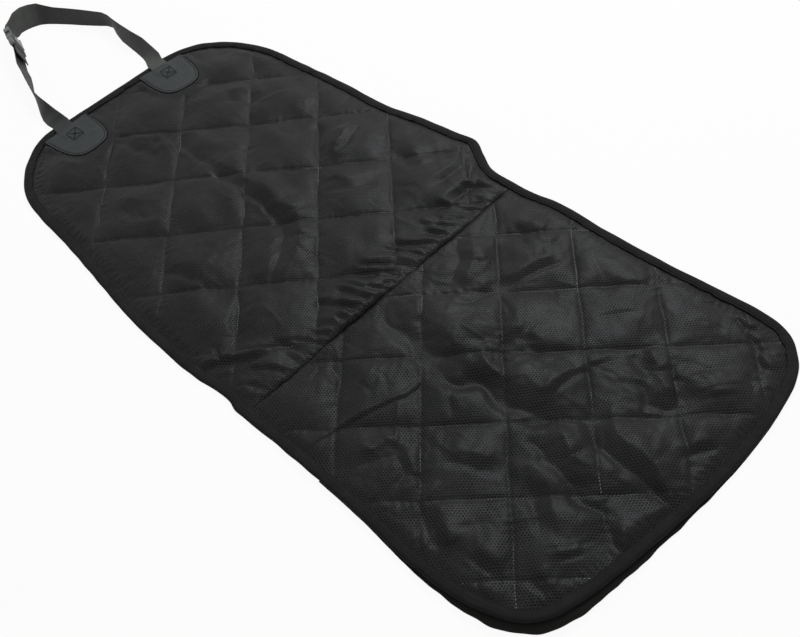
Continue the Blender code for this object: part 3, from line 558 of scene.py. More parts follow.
def patch_place(centre_x):
    """From a patch's own frame, with its straight edge on X, to the cover's."""
    turn = Matrix.Rotation(patch_turn(centre_x), 4, "Z")
    return Matrix.Translation((centre_x, TOP_Y - PATCH_EDGE_INSET, 0)) @ turn


def beside_patch(x, y):
    """About how far outside the nearer patch a place is, in metres, below 0 on the patch."""
    nearest = np.full_like(x, 1.0)
    for centre in patch_centres():
        cos, sin = math.cos(patch_turn(centre)), math.sin(patch_turn(centre))
        off_x, off_y = x - centre, y - (TOP_Y - PATCH_EDGE_INSET)
        across = np.abs((off_x * cos + off_y * sin) / (PATCH_WIDTH / 2))
        down = np.abs(np.minimum(off_y * cos - off_x * sin, 0) / PATCH_DEPTH)
        share = across**PATCH_FULLNESS + down**PATCH_FULLNESS
        nearest = np.minimum(nearest, (share ** (1 / PATCH_FULLNESS) - 1) * 0.05)
    return nearest


def gathers(x, from_seam):
    """Slanting ripples where the back panel is drawn in along the seam."""
    across = 0.80 * x + 0.60 * from_seam
    swing = 1.6 * waves(x, from_seam, 0.09, 31)
    slanting = ripple(across, 0.0175, swing) + 0.5 * ripple(across, 0.0098, 2 * swing)
    stronger = 0.55 + 0.45 * smooth_step((x + 0.16) / 0.20)
    uneven = np.clip(0.9 + 0.7 * waves(x, from_seam, 0.06, 32), 0.1, 2.0)
    reach = 0.024 + 0.008 * waves(x, from_seam, 0.08, 33)
    short = ripple(x, 0.0072, 2.2 * waves(x, from_seam, 0.05, 34))
    short *= 0.0007 * hump(from_seam, 0.010)
    return short + 0.0008 * slanting * stronger * uneven * hump(from_seam, reach)


def creases(x, y, length, width, seed, heading, share):
    """Sharp ridges and furrows, -1 to 1, along winding lines about half a length apart."""
    line = waves(x, y, length, seed, heading=heading, spread=0.7)
    amount = smooth_step((waves(x, y, 0.10, seed + 1) + share) / 0.8)
    sign = np.clip(1.5 * waves(x, y, 0.14, seed + 2), -1, 1)
    return sign * amount * hump(line * length, 2 * math.pi * width)


def wrinkles(x, y, is_back):
    """Soft swells, and the small creases of handling, which are stronger on the seat panel."""
    seed, amount = (40, 1.0) if is_back else (60, 1.3)
    total = layers(x, y, [(height, length, seed + more) for height, length, more in SWELLS])
    for height, length, width, more, heading, share in CREASES:
        total += amount * height * creases(x, y, length, width, seed + more, heading, share)
    return total


def cloth_height(x, y, is_back):
    """The quilted cloth's upper side, with the binding's grip at its edge, and its inset."""
    inset, along = edge_distance(x, y)
    from_seam, from_lip = np.abs(y - SEAM_Y), inset - LIP_INSET
    fullness = 0.30 + 0.70 * smooth_step(from_lip / FLAT_MARGIN)
    fullness *= 0.55 + 0.45 * smooth_step(from_seam / FLAT_MARGIN)
    height = quilt_height(x, y, BACK_QUILT if is_back else SEAT_QUILT, fullness)
    height += fold_heights(x, y, BACK_FOLDS + seam_gathers() if is_back else SEAT_FOLDS)
    height += wrinkles(x, y, is_back)
    if is_back:
        height += gathers(x, from_seam)
    else:
        height += 0.0005 * ripple(x, 0.0082, 2.2 * waves(x, y, 0.06, 35)) * hump(from_seam, 0.009)
    # The wadding never sinks below its least height, and is drawn down to the seam
    height = LEAST_HEIGHT + LEAST_BLEND * np.logaddexp(0, (height - LEAST_HEIGHT) / LEAST_BLEND)
    draw = np.clip((from_seam - SEAM_FLAT) / SEAM_ROLL, 0, 1)
    height = SEAM_HEIGHT + (height - SEAM_HEIGHT) * np.sin(0.5 * math.pi * (0.10 + 0.90 * draw))
    if is_back:
        # A flat bed below each patch, with a low rim pressed up round it
        beside = beside_patch(x, y)
        bed = PATCH_BED_HEIGHT - 0.0002 + 0.0027 * smooth_step((beside + 0.0002) / 0.0014)
        height += (bed - height) * smooth_step(1 - (beside - 0.004) / 0.014)
    # Puckers along the binding, and the roll down into its grip
    pucker = 0.0007 * ripple(along, 0.011, 3 * waves(x, y, 0.06, 71))
    height += pucker * hump(from_lip - 0.007, 0.006)
    grip = BINDING_HEIGHT - BINDING_WALL - 2 * GAP
    roll = np.sin(0.5 * math.pi * np.clip(from_lip / EDGE_ROLL, 0, 1))
    height = grip + (height - grip) * roll
    return lift(x, y) + np.where(from_lip < 0, grip, height), inset


def seam_wander(x, y):
    """How far the seam strays from its straight line, dying out away from it."""
    return layers(x, np.zeros_like(x), SEAM_STRAY) * hump(y - SEAM_Y, SEAM_STRAY_REACH)


def mesh_object(name, verts, faces, mat, uvs=None):
    """A smooth mesh object from arrays. uvs holds one (u, v) in metres for each vertex."""
    data = bpy.data.meshes.new(name)
    data.from_pydata([tuple(v) for v in verts], [], faces)
    if uvs is not None:
        layer = data.uv_layers.new(name="cloth")
        corners = np.empty(len(data.loops), dtype=np.int32)
        data.loops.foreach_get("vertex_index", corners)
        layer.data.foreach_set("uv", np.asarray(uvs, dtype=np.float32)[corners].ravel())
    data.validate()
    data.shade_smooth()
    data.materials.append(mat)
    obj = bpy.data.objects.new(name, data)
    bpy.context.collection.objects.link(obj)
    return obj


def side_faces(count, ring, closed=False):
    """The faces between a count of rings of points that follow one another."""
    faces = []
    for i in range(count if closed else count - 1):
        a, b = i * ring, ((i + 1) % count) * ring
        for k in range(ring):
            n = (k + 1) % ring
            faces.append((a + k, a + n, b + n, b + k))
    return faces


def quilted_panel(name, side, mat):
    """The panel as fine cloth over wadding, with a plain underside."""
    is_back = side > 0
    low_x, high_x = OUTLINE[:, 0].min(), OUTLINE[:, 0].max()
    far = TOP_Y - SEAM_Y if is_back else SEAM_Y - FRONT_Y
    columns = int((high_x - low_x) / CLOTH_STEP)
    rows = int(far / CLOTH_STEP)
    xs = np.linspace(low_x, high_x, columns + 1)
    ys = SEAM_Y + side * (np.arange(rows + 1) * CLOTH_STEP - SEAM_LAP)
    grid_x, grid_y = [a.ravel() for a in np.meshgrid(xs, ys)]
    z, inset = cloth_height(grid_x, grid_y, is_back)
    keep = (inset > CLOTH_INSET).reshape(rows + 1, columns + 1)
    cell = keep[:-1, :-1] & keep[1:, :-1] & keep[:-1, 1:] & keep[1:, 1:]
    row, column = np.nonzero(cell)
    first = row * (columns + 1) + column
    quads = np.stack([first, first + 1, first + columns + 2, first + columns + 1], axis=1)
    if not is_back:
        quads = quads[:, ::-1]
    used, renumbered = np.unique(quads, return_inverse=True)
    quads = renumbered.reshape(quads.shape)
    x, y = grid_x[used], grid_y[used]
    top = np.stack([x, y + seam_wander(x, y), z[used]], axis=1)
    count = len(top)
    edges = {(a, b) for quad in quads.tolist() for a, b in zip(quad, quad[1:] + quad[:1])}
    rim = [(a, b) for a, b in edges if (b, a) not in edges]
    below, lower_faces = plain_underside(cell, used, rim, side)
    numbers = {v: count + i for i, v in enumerate(below)}
    bottom = top[below]
    bottom[:, 2] = lift(bottom[:, 0], bottom[:, 1]) + UNDERSIDE_HEIGHT
    faces = quads.tolist()
    faces += [[numbers[v] for v in face] for face in lower_faces]
    faces += [[b, a, numbers[a], numbers[b]] for a, b in rim]
    verts = np.vstack([top, bottom])
    return mesh_object(name, verts, faces, mat, verts[:, :2] + 1)


def plain_underside(cell, used, rim, side):
    """The panel's underside in wide flat strips that share every point of its rim.

    Returns the numbers of the upper side's points it lies below, and its faces by those numbers."""
    rows, columns = cell.shape
    number = np.full((rows + 1) * (columns + 1), -1)
    number[used] = np.arange(len(used))
    number = number.reshape(rows + 1, columns + 1)
    on_rim = {v for edge in rim for v in edge}
    faces = []
    for row in range(rows):
        for start in range(columns):
            if not cell[row, start] or (start % STRIP_CELLS and cell[row, start - 1]):
                continue
            end = start + 1
            while end % STRIP_CELLS and end < columns and cell[row, end]:
                end += 1
            span = range(start, end + 1)
            lower, upper = (
                [int(line[c]) for c in span if c % STRIP_CELLS == 0 or line[c] in on_rim]
                for line in (number[row], number[row + 1])
            )
            face = lower + upper[::-1]
            faces.append(face[::-1] if side > 0 else face)
    return sorted({v for face in faces for v in face}), faces


def sweep(sections, closed):
    """Joins rings of points, one after another. Returns vertices and faces."""
    sections = np.asarray(sections)
    count, ring = sections.shape[:2]
    faces = side_faces(count, ring, closed)
    if not closed:
        faces.append(tuple(reversed(range(ring))))
        faces.append(tuple(range((count - 1) * ring, count * ring)))
    return sections.reshape(-1, 3), faces


def edge_binding(mat):
    """A tape folded over the panels' thin edge, a little uneven along its inner lip."""
    top, wall, inside = BINDING_HEIGHT, BINDING_WALL, BINDING_INSIDE
    at = OUTLINE_AT / OUTLINE_LENGTH * 2 * math.pi
    round_x = np.cos(at) * OUTLINE_LENGTH / (2 * math.pi)
    round_y = np.sin(at) * OUTLINE_LENGTH / (2 * math.pi)
    lips = BINDING_WIDTH + layers(round_x, round_y, LIP_STRAY)
    rises = layers(round_x, round_y, TAPE_RISE)
    swells = layers(round_x, round_y, TAPE_SWELL)
    sections, uvs = [], []
    rows = zip(OUTLINE, OUTWARD, OUTLINE_AT, lips, rises, swells)
    for point, outward, along, lip, rise, edge in rows:
        # Distance in from the outline, height, and place round the tape
        profile = (
            (inside, wall, 0.030),
            (lip - 0.0008, wall, 0.018),
            (lip, 0.0008, 0.016),
            (lip - 0.0008, 0.0002, 0.015),
            (0.0030, 0.0001, 0.006),
            (0.0010 - edge, 0.0010, 0.003),
            (0.0001 - edge, top * 0.36, 0.0015),
            (-edge, top * 0.58, 0.0),
            (0.0008 - edge, top * 0.85, -0.002),
            (0.0028, top + rise * 0.5, -0.005),
            (0.0052, top + 0.0004 + rise, -0.0075),
            (0.0068, top - 0.0001 + 0.7 * rise, -0.0092),
            (0.0086, top + 0.0003 + rise, -0.011),
            (lip - 0.0036, top - 0.0002 + 0.6 * rise, -0.014),
            (lip - 0.0027, top - 0.0011 + 0.4 * rise, -0.015),
            (lip - 0.0008, top - 0.0001 + rise, -0.017),
            (lip, top - 0.0009 + rise, -0.018),
            (lip - 0.0008, top - wall, -0.019),
            (inside, top - wall, -0.030),
        )
        raised = float(lift(*point))
        sections.append([(*(point - outward * inset), z + raised) for inset, z, _ in profile])
        uvs += [(around + 1, along) for _, _, around in profile]
    verts, faces = sweep(sections, True)
    return mesh_object("binding_tape", verts, faces, mat, uvs)


def seat_skirt(mat):
    """Thin cloth sewn under the seat panel's edge and tucked below, fuller at the near corner."""
    half = SKIRT_THICKNESS / 2
    sections, uvs = [], []
    ripples = waves(OUTLINE_AT, np.zeros_like(OUTLINE_AT), 0.030, 95)
    for point, outward, along, wave in zip(OUTLINE, OUTWARD, OUTLINE_AT, ripples):
        if point[1] > SEAM_Y - SKIRT_START:
            continue
        rise = float(corner_rise(*point))
        bulge = SKIRT_BULGE * rise**0.6 + 0.0011 * wave * min(1.0, 2.5 * rise + 0.15)
        turn = 0.6 * bulge - 0.0030
        high = float(lift(*(point + outward * turn)))
        under = float(lift(*(point - outward * SKIRT_HOLD)))
        # Distance out from the outline, and height
        middle = (
            (-SKIRT_HOLD, under - GAP - half),
            (0.5 * (turn - SKIRT_HOLD), 0.5 * (under + high) - GAP - half),
            (turn, high - GAP - half - 0.0001),
            (0.85 * bulge - 0.0012, 0.86 * high - 0.0004),
            (bulge - 0.0006, 0.55 * high),
            (0.95 * bulge - 0.0006, 0.34 * high),
            (0.85 * bulge - 0.0010, 0.20 * high + 0.0004),
            (0.60 * bulge - 0.0030, 0.06 * high + 0.0006),
            (0.30 * bulge - 0.0060, half),
            (-0.030, half),
            (-SKIRT_TUCK, half),
        )
        ahead = np.gradient(middle, axis=0)
        offset = np.stack([-ahead[:, 1], ahead[:, 0]], axis=1)
        offset *= half / np.linalg.norm(offset, axis=1)[:, None]
        ring = np.vstack([middle + offset, (middle - offset)[::-1]])
        sections.append([(*(point + outward * out), max(z, 0.0)) for out, z in ring])
        steps = np.linalg.norm(np.diff(middle, axis=0), axis=1)
        around = np.concatenate([[0], np.cumsum(steps)])
        uvs += [(u + 1, along) for u in (*around, *around[::-1])]
    verts, faces = sweep(sections, False)
    return mesh_object("skirt_cloth", verts, faces, mat, uvs)


def patch_curve(inset, steps):
    """The patch's rounded edge, moved in by the inset, from its left end to its right end."""
    half, depth = PATCH_WIDTH / 2 - inset, PATCH_DEPTH - inset
    curve = []
    for k in range(steps + 1):
        cos, sin = math.cos(math.pi * k / steps), math.sin(math.pi * k / steps)
        x = -half * math.copysign(abs(cos) ** (2 / PATCH_FULLNESS), cos)
        curve.append((x, -depth * sin ** (2 / PATCH_FULLNESS)))
    return curve


def patch(name, centre_x, mat):
    """A half-round leather patch with a pressed line inside its edge, raised over the webbing."""
    straight = 30
    outline = patch_curve(0.0, 96)
    outline += [(PATCH_WIDTH / 2 - PATCH_WIDTH * k / straight, 0) for k in range(1, straight)]
    outline = np.array(outline)
    heart = np.array((0.0, -0.45 * PATCH_DEPTH))
    bed = PATCH_BED_HEIGHT + GAP
    top = bed + PATCH_THICKNESS
    # Distance in from the edge, and height
    rings = [(0.0, bed), (0.0, top - 0.0008), (0.0004, top - 0.0002), (0.0011, top)]
    rings += [(0.0024, top), (0.0030, top - 0.0005), (0.0036, top - 0.0005), (0.0042, top)]
    rings += [(0.0042 + 0.0020 * k, top) for k in range(1, 15)]
    verts, uvs = [], []
    place = patch_place(centre_x)
    count = len(outline)
    reach = np.linalg.norm(outline - heart, axis=1)
    for depth, z in rings:
        share = np.maximum(1 - depth / reach, 0.03)
        ring = heart + (outline - heart) * share[:, None]
        # The leather stands a little higher where the webbing lies below it
        over = smooth_step((0.0175 - np.abs(ring[:, 0])) / 0.004)
        over *= smooth_step((ring[:, 1] + WEBBING_UNDER_PATCH + 0.002) / 0.004)
        height = z + (0.0006 * over if depth > 0.001 else 0)
        if depth > 0.005:
            height = height + 0.00025 * waves(ring[:, 0], ring[:, 1], 0.022, 101)
        for (x, y), h in zip(ring, np.broadcast_to(height, (count,))):
            verts.append(place @ Vector((x, y, h)))
            uvs.append((x + 1, y + 1))
    verts.append(place @ Vector((*heart, top)))
    uvs.append((heart[0] + 1, heart[1] + 1))
    faces = side_faces(len(rings), count)
    last = (len(rings) - 1) * count
    faces += [(last + k, last + (k + 1) % count, len(verts) - 1) for k in range(count)]
    faces.append(tuple(reversed(range(count))))
    return mesh_object(name, verts, faces, mat, uvs)


def buckle_frame():
    """Along the buckle towards its plug, across it from the lower edge up, and through it."""
    along = Vector((math.cos(BUCKLE_HEADING), math.sin(BUCKLE_HEADING), 0))
    outward = Vector((along.y, -along.x, 0))
    across = outward * math.cos(BUCKLE_LEAN) + Vector((0, 0, 1)) * math.sin(BUCKLE_LEAN)
    through = along.cross(across)
    foot = SOCKET_THICKNESS / 2 * abs(through.z) + GAP
    centre = Vector((*BUCKLE_PLACE, foot)) + across * (BUCKLE_WIDTH / 2)
    turn = Matrix((along, across, through)).transposed().to_4x4()
    return Matrix.Translation(centre) @ turn


BUCKLE = buckle_frame()


def in_buckle(along, through):
    """The webbing's two edges at a place given in the buckle's own frame."""
    half = WEBBING_WIDTH / 2
    return tuple(np.array(BUCKLE @ Vector((along, side * half, through))) for side in (-1, 1))


def loop_round_bar(bar_x, towards, tail):
    """Webbing stations that come up to a bar, go round it and lie back against themselves."""
    radius = BAR_RADIUS + GAP + WEBBING_THICKNESS / 2
    stations = [in_buckle(bar_x - towards * LEGS_START, LEGS_APART)]
    steps = 8
    for k in range(steps + 1):
        angle = math.radians(100) - math.radians(200) * k / steps
        ahead, up = radius * math.cos(angle), radius * math.sin(angle)
        stations.append(in_buckle(bar_x + towards * ahead, up))
    stations.append(in_buckle(bar_x - towards * LEGS_START, -LEGS_APART))
    stations.append(in_buckle(bar_x - towards * tail, -LEGS_APART))
    return stations


def strap_stations(centre_x, route):
    """The webbing's two edges from under its patch along its route."""
    half = WEBBING_WIDTH / 2
    height = PATCH_BED_HEIGHT + GAP + WEBBING_THICKNESS / 2
    place = patch_place(centre_x)
    stations = []
    for y in (-WEBBING_UNDER_PATCH, -WEBBING_UNDER_PATCH / 2, 0.004):
        stations.append([np.array(place @ Vector((side * half, y, height))) for side in (-1, 1)])
    shift = np.array((centre_x, TOP_Y, 0))
    stations += [(np.array(low) + shift, np.array(high) + shift) for low, high in route]
    return stations


def webbing(name, stations, mat):
    """A woven strap with rounded edges through stations, each the place of its two edges."""
    stations = [(np.array(low), np.array(high)) for low, high in stations]
    ends = [stations[0], *stations, stations[-1]]
    pairs = []
    for before, start, end, after in zip(ends, ends[1:], ends[2:], ends[3:]):
        length = np.linalg.norm(np.add(*end) - np.add(*start)) / 2
        count = max(1, round(length / WEBBING_STEP))
        for k in range(count):
            at = k / count
            curved = [spline_point(before[i], start[i], end[i], after[i], at) for i in (0, 1)]
            straight = [start[i] + (end[i] - start[i]) * at for i in (0, 1)]
            share = WEBBING_STIFFNESS if length > LOOP_STEP else 0.0
            pairs.append([c + (s - c) * share for c, s in zip(curved, straight)])
    pairs.append(stations[-1])
    half = WEBBING_THICKNESS / 2
    ring = [(-1.0, 0.0), (-0.985, 0.7), (-0.95, 1.0)] + [(k / 4, 1.0) for k in range(-3, 4)]
    ring += [(0.95, 1.0), (0.985, 0.7), (1.0, 0.0)]
    ring += [(-u, -w) for u, w in ring[1:-1]]
    sections, uvs = [], []
    run = 0.0
    for i, (low, high) in enumerate(pairs):
        previous, following = pairs[max(i - 1, 0)], pairs[min(i + 1, len(pairs) - 1)]
        ahead = following[0] + following[1] - previous[0] - previous[1]
        normal = np.cross(ahead, high - low)
        normal *= half / np.linalg.norm(normal)
        middle, across = (low + high) / 2, (high - low) / 2
        if i:
            run += np.linalg.norm(middle - (previous[0] + previous[1]) / 2)
        sections.append([middle + across * u + normal * w for u, w in ring])
        uvs += [(u * WEBBING_WIDTH / 2 + 1, run) for u, w in ring]
    verts, faces = sweep(sections, False)
    return mesh_object(name, verts, faces, mat, uvs)


def stitches(name, places, headings, size, mat):
    """Short rounded threads of one length and width, each lying at its place along its heading."""
    length, width = size
    rings = ((-0.40, 0.75), (-0.15, 1.0), (0.15, 1.0), (0.40, 0.75))
    sides = 6
    last, tip = (len(rings) - 1) * sides, len(rings) * sides
    shell = [face[::-1] for face in side_faces(len(rings), sides)]
    for k in range(sides):
        n = (k + 1) % sides
        shell += [(k, n, tip), (last + n, last + k, tip + 1)]
    verts, faces = [], []
    for place, heading in zip(places, headings):
        place, ahead = Vector(place), Vector(heading).normalized()
        left = Vector((-ahead.y, ahead.x, 0)).normalized()
        up = ahead.cross(left)
        faces += [[len(verts) + corner for corner in face] for face in shell]
        for share, swell in rings:
            middle = place + ahead * (share * length) + up * (-0.5 * width * (2 * share) ** 4)
            for k in range(sides):
                angle = 2 * math.pi * k / sides
                out = left * (math.cos(angle) * width / 2) + up * (math.sin(angle) * width * 0.38)
                verts.append(middle + out * swell)
        verts += [place + ahead * (side * 0.5 * length) - up * (0.5 * width) for side in (-1, 1)]
    return mesh_object(name, verts, faces, mat)


def quilt_stitches(is_back):
    """Places and headings of the thread along both sets of quilting lines on one panel."""
    quilt, side = (BACK_QUILT, 1) if is_back else (SEAT_QUILT, -1)
    first = np.array((math.cos(quilt["angle"]), math.sin(quilt["angle"])))
    second = np.array((-first[1], first[0]))
    run = np.arange(-0.9, 0.9, STITCH_PITCH)[:, None]
    found, ways = [], []
    for axis, way, spacing in ((first, second, quilt["along"]), (second, first, quilt["across"])):
        for k in range(-9, 10):
            line = np.array(quilt["cross"]) + axis * (k * spacing) + way * run
            for i in (0, 1):
                line[:, i] -= quilt_stray(line[:, 0], line[:, 1], QUILT_SEEDS[i])
            near = (side * (line[:, 1] - SEAM_Y) > 0.003) & (np.abs(line[:, 0]) < 0.3)
            near &= (line[:, 1] < TOP_Y) & (line[:, 1] > FRONT_Y)
            found.append(line[near])
            ways.append(np.tile(way, (int(near.sum()), 1)))
    (x, y), (way_x, way_y) = np.vstack(found).T, np.vstack(ways).T
    z, inset = cloth_height(x, y, is_back)
    ahead_z, _ = cloth_height(x + way_x * STITCH_AHEAD, y + way_y * STITCH_AHEAD, is_back)
    keep = inset > LIP_INSET + 0.001
    if is_back:
        keep &= beside_patch(x, y) > 0.001
    sunk = 0.00035 * np.clip(waves(x, y, 0.06, 111), -1, 1)
    places = np.stack([x, y + seam_wander(x, y), z + 0.0001 + sunk], axis=1)
    headings = np.stack([way_x, way_y, (ahead_z - z) / STITCH_AHEAD], axis=1)
    return places[keep], headings[keep]


def binding_stitches():
    """Places and headings of the thread along the tape's inner lip."""
    count = int(OUTLINE_LENGTH / BINDING_STITCH_PITCH)
    at = np.arange(count) * OUTLINE_LENGTH / count
    inner = OUTLINE - OUTWARD * (BINDING_WIDTH - BINDING_STITCH_INSET)
    closed_at = np.append(OUTLINE_AT, OUTLINE_LENGTH)
    (x, y), (way_x, way_y) = (
        [np.interp(at, closed_at, np.append(curve[:, i], curve[0, i])) for i in (0, 1)]
        for curve in (inner, AHEAD)
    )
    z = lift(x, y) + BINDING_HEIGHT - BINDING_STITCH_DEPTH
    return np.stack([x, y, z], axis=1), np.stack([way_x, way_y, np.zeros(count)], axis=1)


def patch_stitches(centre_x):
    """A row inside the patch's curved edge, and a square with its diagonals over the webbing."""
    low, high, half = BOX_LOW, BOX_HIGH, BOX_WIDTH / 2
    top = PATCH_BED_HEIGHT + GAP + PATCH_THICKNESS
    raised = top + PATCH_THREAD_RISE
    lines = (
        (patch_curve(PATCH_ROW_INSET, 60), top - 0.0002),
        (((-half, low), (half, low), (half, high), (-half, high), (-half, low)), raised),
        (((-half, low), (half, high)), raised),
        (((-half, high), (half, low)), raised),
    )
    place = patch_place(centre_x)
    places, headings = [], []
    for line, height in lines:
        for (ax, ay), (bx, by) in stretches(line, PATCH_STITCH_PITCH):
            places.append(place @ Vector(((ax + bx) / 2, (ay + by) / 2, height)))
            headings.append(place.to_3x3() @ Vector((bx - ax, by - ay, 0)))
    return places, headings


def stretches(line, pitch):
    """Cuts a line of points into equal stretches of about one pitch."""
    line = np.array(line)
    run = np.concatenate([[0], np.cumsum(np.linalg.norm(np.diff(line, axis=0), axis=1))])
    count = max(1, round(run[-1] / pitch))
    at = np.linspace(0, run[-1], count + 1)
    spots = np.stack([np.interp(at, run, line[:, i]) for i in (0, 1)], axis=1)
    return list(zip(spots.tolist(), spots[1:].tolist()))


class Nodes:
    """A short way to write the nodes of a new material, or of the world."""

    def __init__(self, name, owner=None):
        self.owner = owner or bpy.data.materials.new(name)
        self.owner.use_nodes = True
        self.tree = self.owner.node_tree

    def add(self, kind, settings=None, **inputs):
        node = self.tree.nodes.new(kind)
        for key, value in (settings or {}).items():
            setattr(node, key, value)
        self.fill(node, inputs)
        return node

    def fill(self, node, inputs):
        for key, value in inputs.items():
            self.put(node.inputs[key.replace("_", " ")], value)

    def put(self, socket, value):
        if isinstance(value, bpy.types.NodeSocket):
            self.tree.links.new(value, socket)
        else:
            socket.default_value = shade(value) if isinstance(value, str) else value

    def math(self, operation, *values, kind="ShaderNodeMath", out=0):
        node = self.add(kind, {"operation": operation})
        for socket, value in zip(node.inputs, values):
            self.put(socket, value)
        return node.outputs[out]

    def vector(self, operation, *values, out=0):
        return self.math(operation, *values, kind="ShaderNodeVectorMath", out=out)

    def plus(self, value, other, share):
        """One value and a share of another."""
        return self.math("ADD", value, self.math("MULTIPLY", other, share))

    def ramp(self, value, low, high):
        """0 below low and 1 above high, smoothly."""
        smooth = {"interpolation_type": "SMOOTHSTEP"}
        node = self.add("ShaderNodeMapRange", smooth, Value=value, From_Min=low, From_Max=high)
        return node.outputs["Result"]

    def blend(self, share, first, second):
        node = self.add("ShaderNodeMix", {"data_type": "RGBA"}, Factor=share)
        colours = [s for s in node.inputs if s.type == "RGBA"]
        self.put(colours[0], first)
        self.put(colours[1], second)
        return [s for s in node.outputs if s.type == "RGBA"][0]

    def noise(self, place, scale, detail=2.0):
        return self.add("ShaderNodeTexNoise", Vector=place, Scale=scale, Detail=detail).outputs[0]

    def cloth_place(self):
        """Place on the cloth in metres."""
        return self.add("ShaderNodeUVMap", {"uv_map": "cloth"}).outputs[0]

    def object_place(self):
        """Place in the object's frame in metres."""
        return self.add("ShaderNodeTexCoord").outputs["Object"]

    def finish(self, colour, rough, relief, specular=0.5, **others):
        """The material. Its relief is a height, the distance that it stands for and a strength."""
        height, distance, strength = relief
        bump = self.add("ShaderNodeBump", Height=height, Distance=distance, Strength=strength)
        inputs = {"Base Color": colour, "Roughness": rough, "Normal": bump.outputs[0], **others}
        inputs["Specular IOR Level"] = specular
        self.fill(self.tree.nodes["Principled BSDF"], inputs)
        return self.owner


def shade(hex_colour):
    """A linear colour from the usual six digits."""
    values = [int(hex_colour[i : i + 2], 16) / 255 for i in (0, 2, 4)]
    return (*[v / 12.92 if v < 0.04045 else ((v + 0.055) / 1.055) ** 2.4 for v in values], 1.0)


def dot_distance(nodes, place, pitch):
    """Distance to the nearest point of a honeycomb grid, in pitches."""
    cell = (pitch, pitch * math.sqrt(3), 1.0)
    middle = (cell[0] / 2, cell[1] / 2, 0.0)
    found = []
    for start in (place, nodes.vector("ADD", place, middle)):
        away = nodes.vector("SUBTRACT", nodes.vector("MODULO", start, cell), middle)
        found.append(nodes.vector("LENGTH", away, out=1))
    return nodes.math("DIVIDE", nodes.math("MINIMUM", *found), pitch)


def quilted_cloth():
    """Satin polyester with a pressed honeycomb of small hollows, painted darker as shade, and a
    fine uneven weave.
    """
    nodes = Nodes("quilted_cloth")
    place = nodes.cloth_place()
    about_z = {"rotation_type": "Z_AXIS"}
    turn = nodes.add("ShaderNodeVectorRotate", about_z, Vector=place, Angle=HONEYCOMB_TURN)
    turned = turn.outputs[0]
    # The honeycomb's dots are measured far from the origin, where both coordinates are above 0
    away = dot_distance(nodes, nodes.vector("ADD", turned, (4.0, 4.0, 0.0)), HONEYCOMB_PITCH)
    pressed = nodes.ramp(nodes.noise(place, 26.0, 3.0), 0.32, 0.64)
    flat = nodes.math("SUBTRACT", 0.65, nodes.math("MULTIPLY", pressed, 0.60))
    ridge = nodes.math("MAXIMUM", nodes.ramp(away, 0.15, 0.36), flat)
    weft, warp = (
        nodes.noise(nodes.vector("MULTIPLY", turned, (*scales, 1.0)), 1.0)
        for scales in ((300.0, 1500.0), (1500.0, 300.0))
    )
    weave = nodes.math("ADD", weft, warp)
    patchy = nodes.ramp(nodes.noise(place, 7.0, 4.0), 0.35, 0.65)
    broad = nodes.blend(patchy, "202020", "282828")
    grained = nodes.blend(nodes.ramp(weave, 0.70, 1.30), nodes.blend(0.5, broad, "050505"), broad)
    # The honeycomb's hollows are painted darker than its ridges: painted shade
    colour = nodes.blend(ridge, nodes.blend(0.50, grained, "020202"), grained)
    satin = nodes.ramp(nodes.noise(place, 420.0, 1.0), 0.35, 0.65)
    glint = nodes.blend(ridge, "5c5e62", nodes.blend(satin, "c9ced6", "fafcff"))
    rough = nodes.plus(0.32, nodes.noise(place, 30.0), 0.14)
    relief = (nodes.plus(ridge, weave, 0.35), 0.0005, 0.70)
    return nodes.finish(colour, rough, relief, 0.115, Specular_Tint=glint)


def tape_cloth():
    """Ribbed tape, worn paler in places."""
    nodes = Nodes("binding_cloth")
    place = nodes.cloth_place()
    across = {"bands_direction": "Y"}
    rib = nodes.add("ShaderNodeTexWave", across, Vector=place, Scale=260.0).outputs[1]
    soft = nodes.noise(place, 60.0, 3.0)
    worn = nodes.ramp(nodes.noise(place, 16.0, 3.0), 0.36, 0.64)
    colour = nodes.blend(soft, "0f100f", nodes.blend(worn, "161716", "1f211f"))
    return nodes.finish(colour, 0.75, (nodes.plus(rib, soft, 1.5), 0.0003, 0.6), 0.12)


def skirt_material():
    """Thin dull backing cloth."""
    nodes = Nodes("skirt_cloth")
    place = nodes.cloth_place()
    soft = nodes.noise(place, 40.0, 4.0)
    height = nodes.plus(nodes.noise(place, 900.0, 1.0), soft, 3.0)
    return nodes.finish(nodes.blend(soft, "131412", "1f201e"), 0.80, (height, 0.0004, 0.5), 0.12)


def leather():
    """Smooth dark synthetic leather with a fine grain."""
    nodes = Nodes("patch_leather")
    place = nodes.cloth_place()
    edges = {"feature": "DISTANCE_TO_EDGE"}
    pores = nodes.add("ShaderNodeTexVoronoi", edges, Vector=place, Scale=750.0).outputs[0]
    soft = nodes.noise(place, 70.0, 3.0)
    height = nodes.plus(nodes.ramp(pores, 0.0, 0.22), soft, 0.6)
    return nodes.finish(nodes.blend(soft, "25292b", "2d3134"), 0.50, (height, 0.0002, 0.5), 0.2)


def webbing_material(name, dark, pale):
    """Nylon webbing woven in a herringbone."""
    nodes = Nodes(name)
    place = nodes.cloth_place()
    split = nodes.add("ShaderNodeSeparateXYZ", Vector=place)
    across = nodes.math("SUBTRACT", split.outputs[0], 1.0)
    slant = nodes.math("ADD", split.outputs[1], nodes.math("PINGPONG", across, HERRINGBONE_WIDTH))
    rib, column = (
        nodes.math("SINE", nodes.math("MULTIPLY", run, 2 * math.pi / pitch))
        for run, pitch in ((slant, HERRINGBONE_PITCH), (across, WARP_PITCH))
    )
    height = nodes.plus(nodes.math("MULTIPLY", rib, 0.5), column, 0.3)
    colour = nodes.blend(nodes.noise(place, 50.0), dark, pale)
    return nodes.finish(colour, 0.55, (height, 0.0003, 0.6), 0.2)


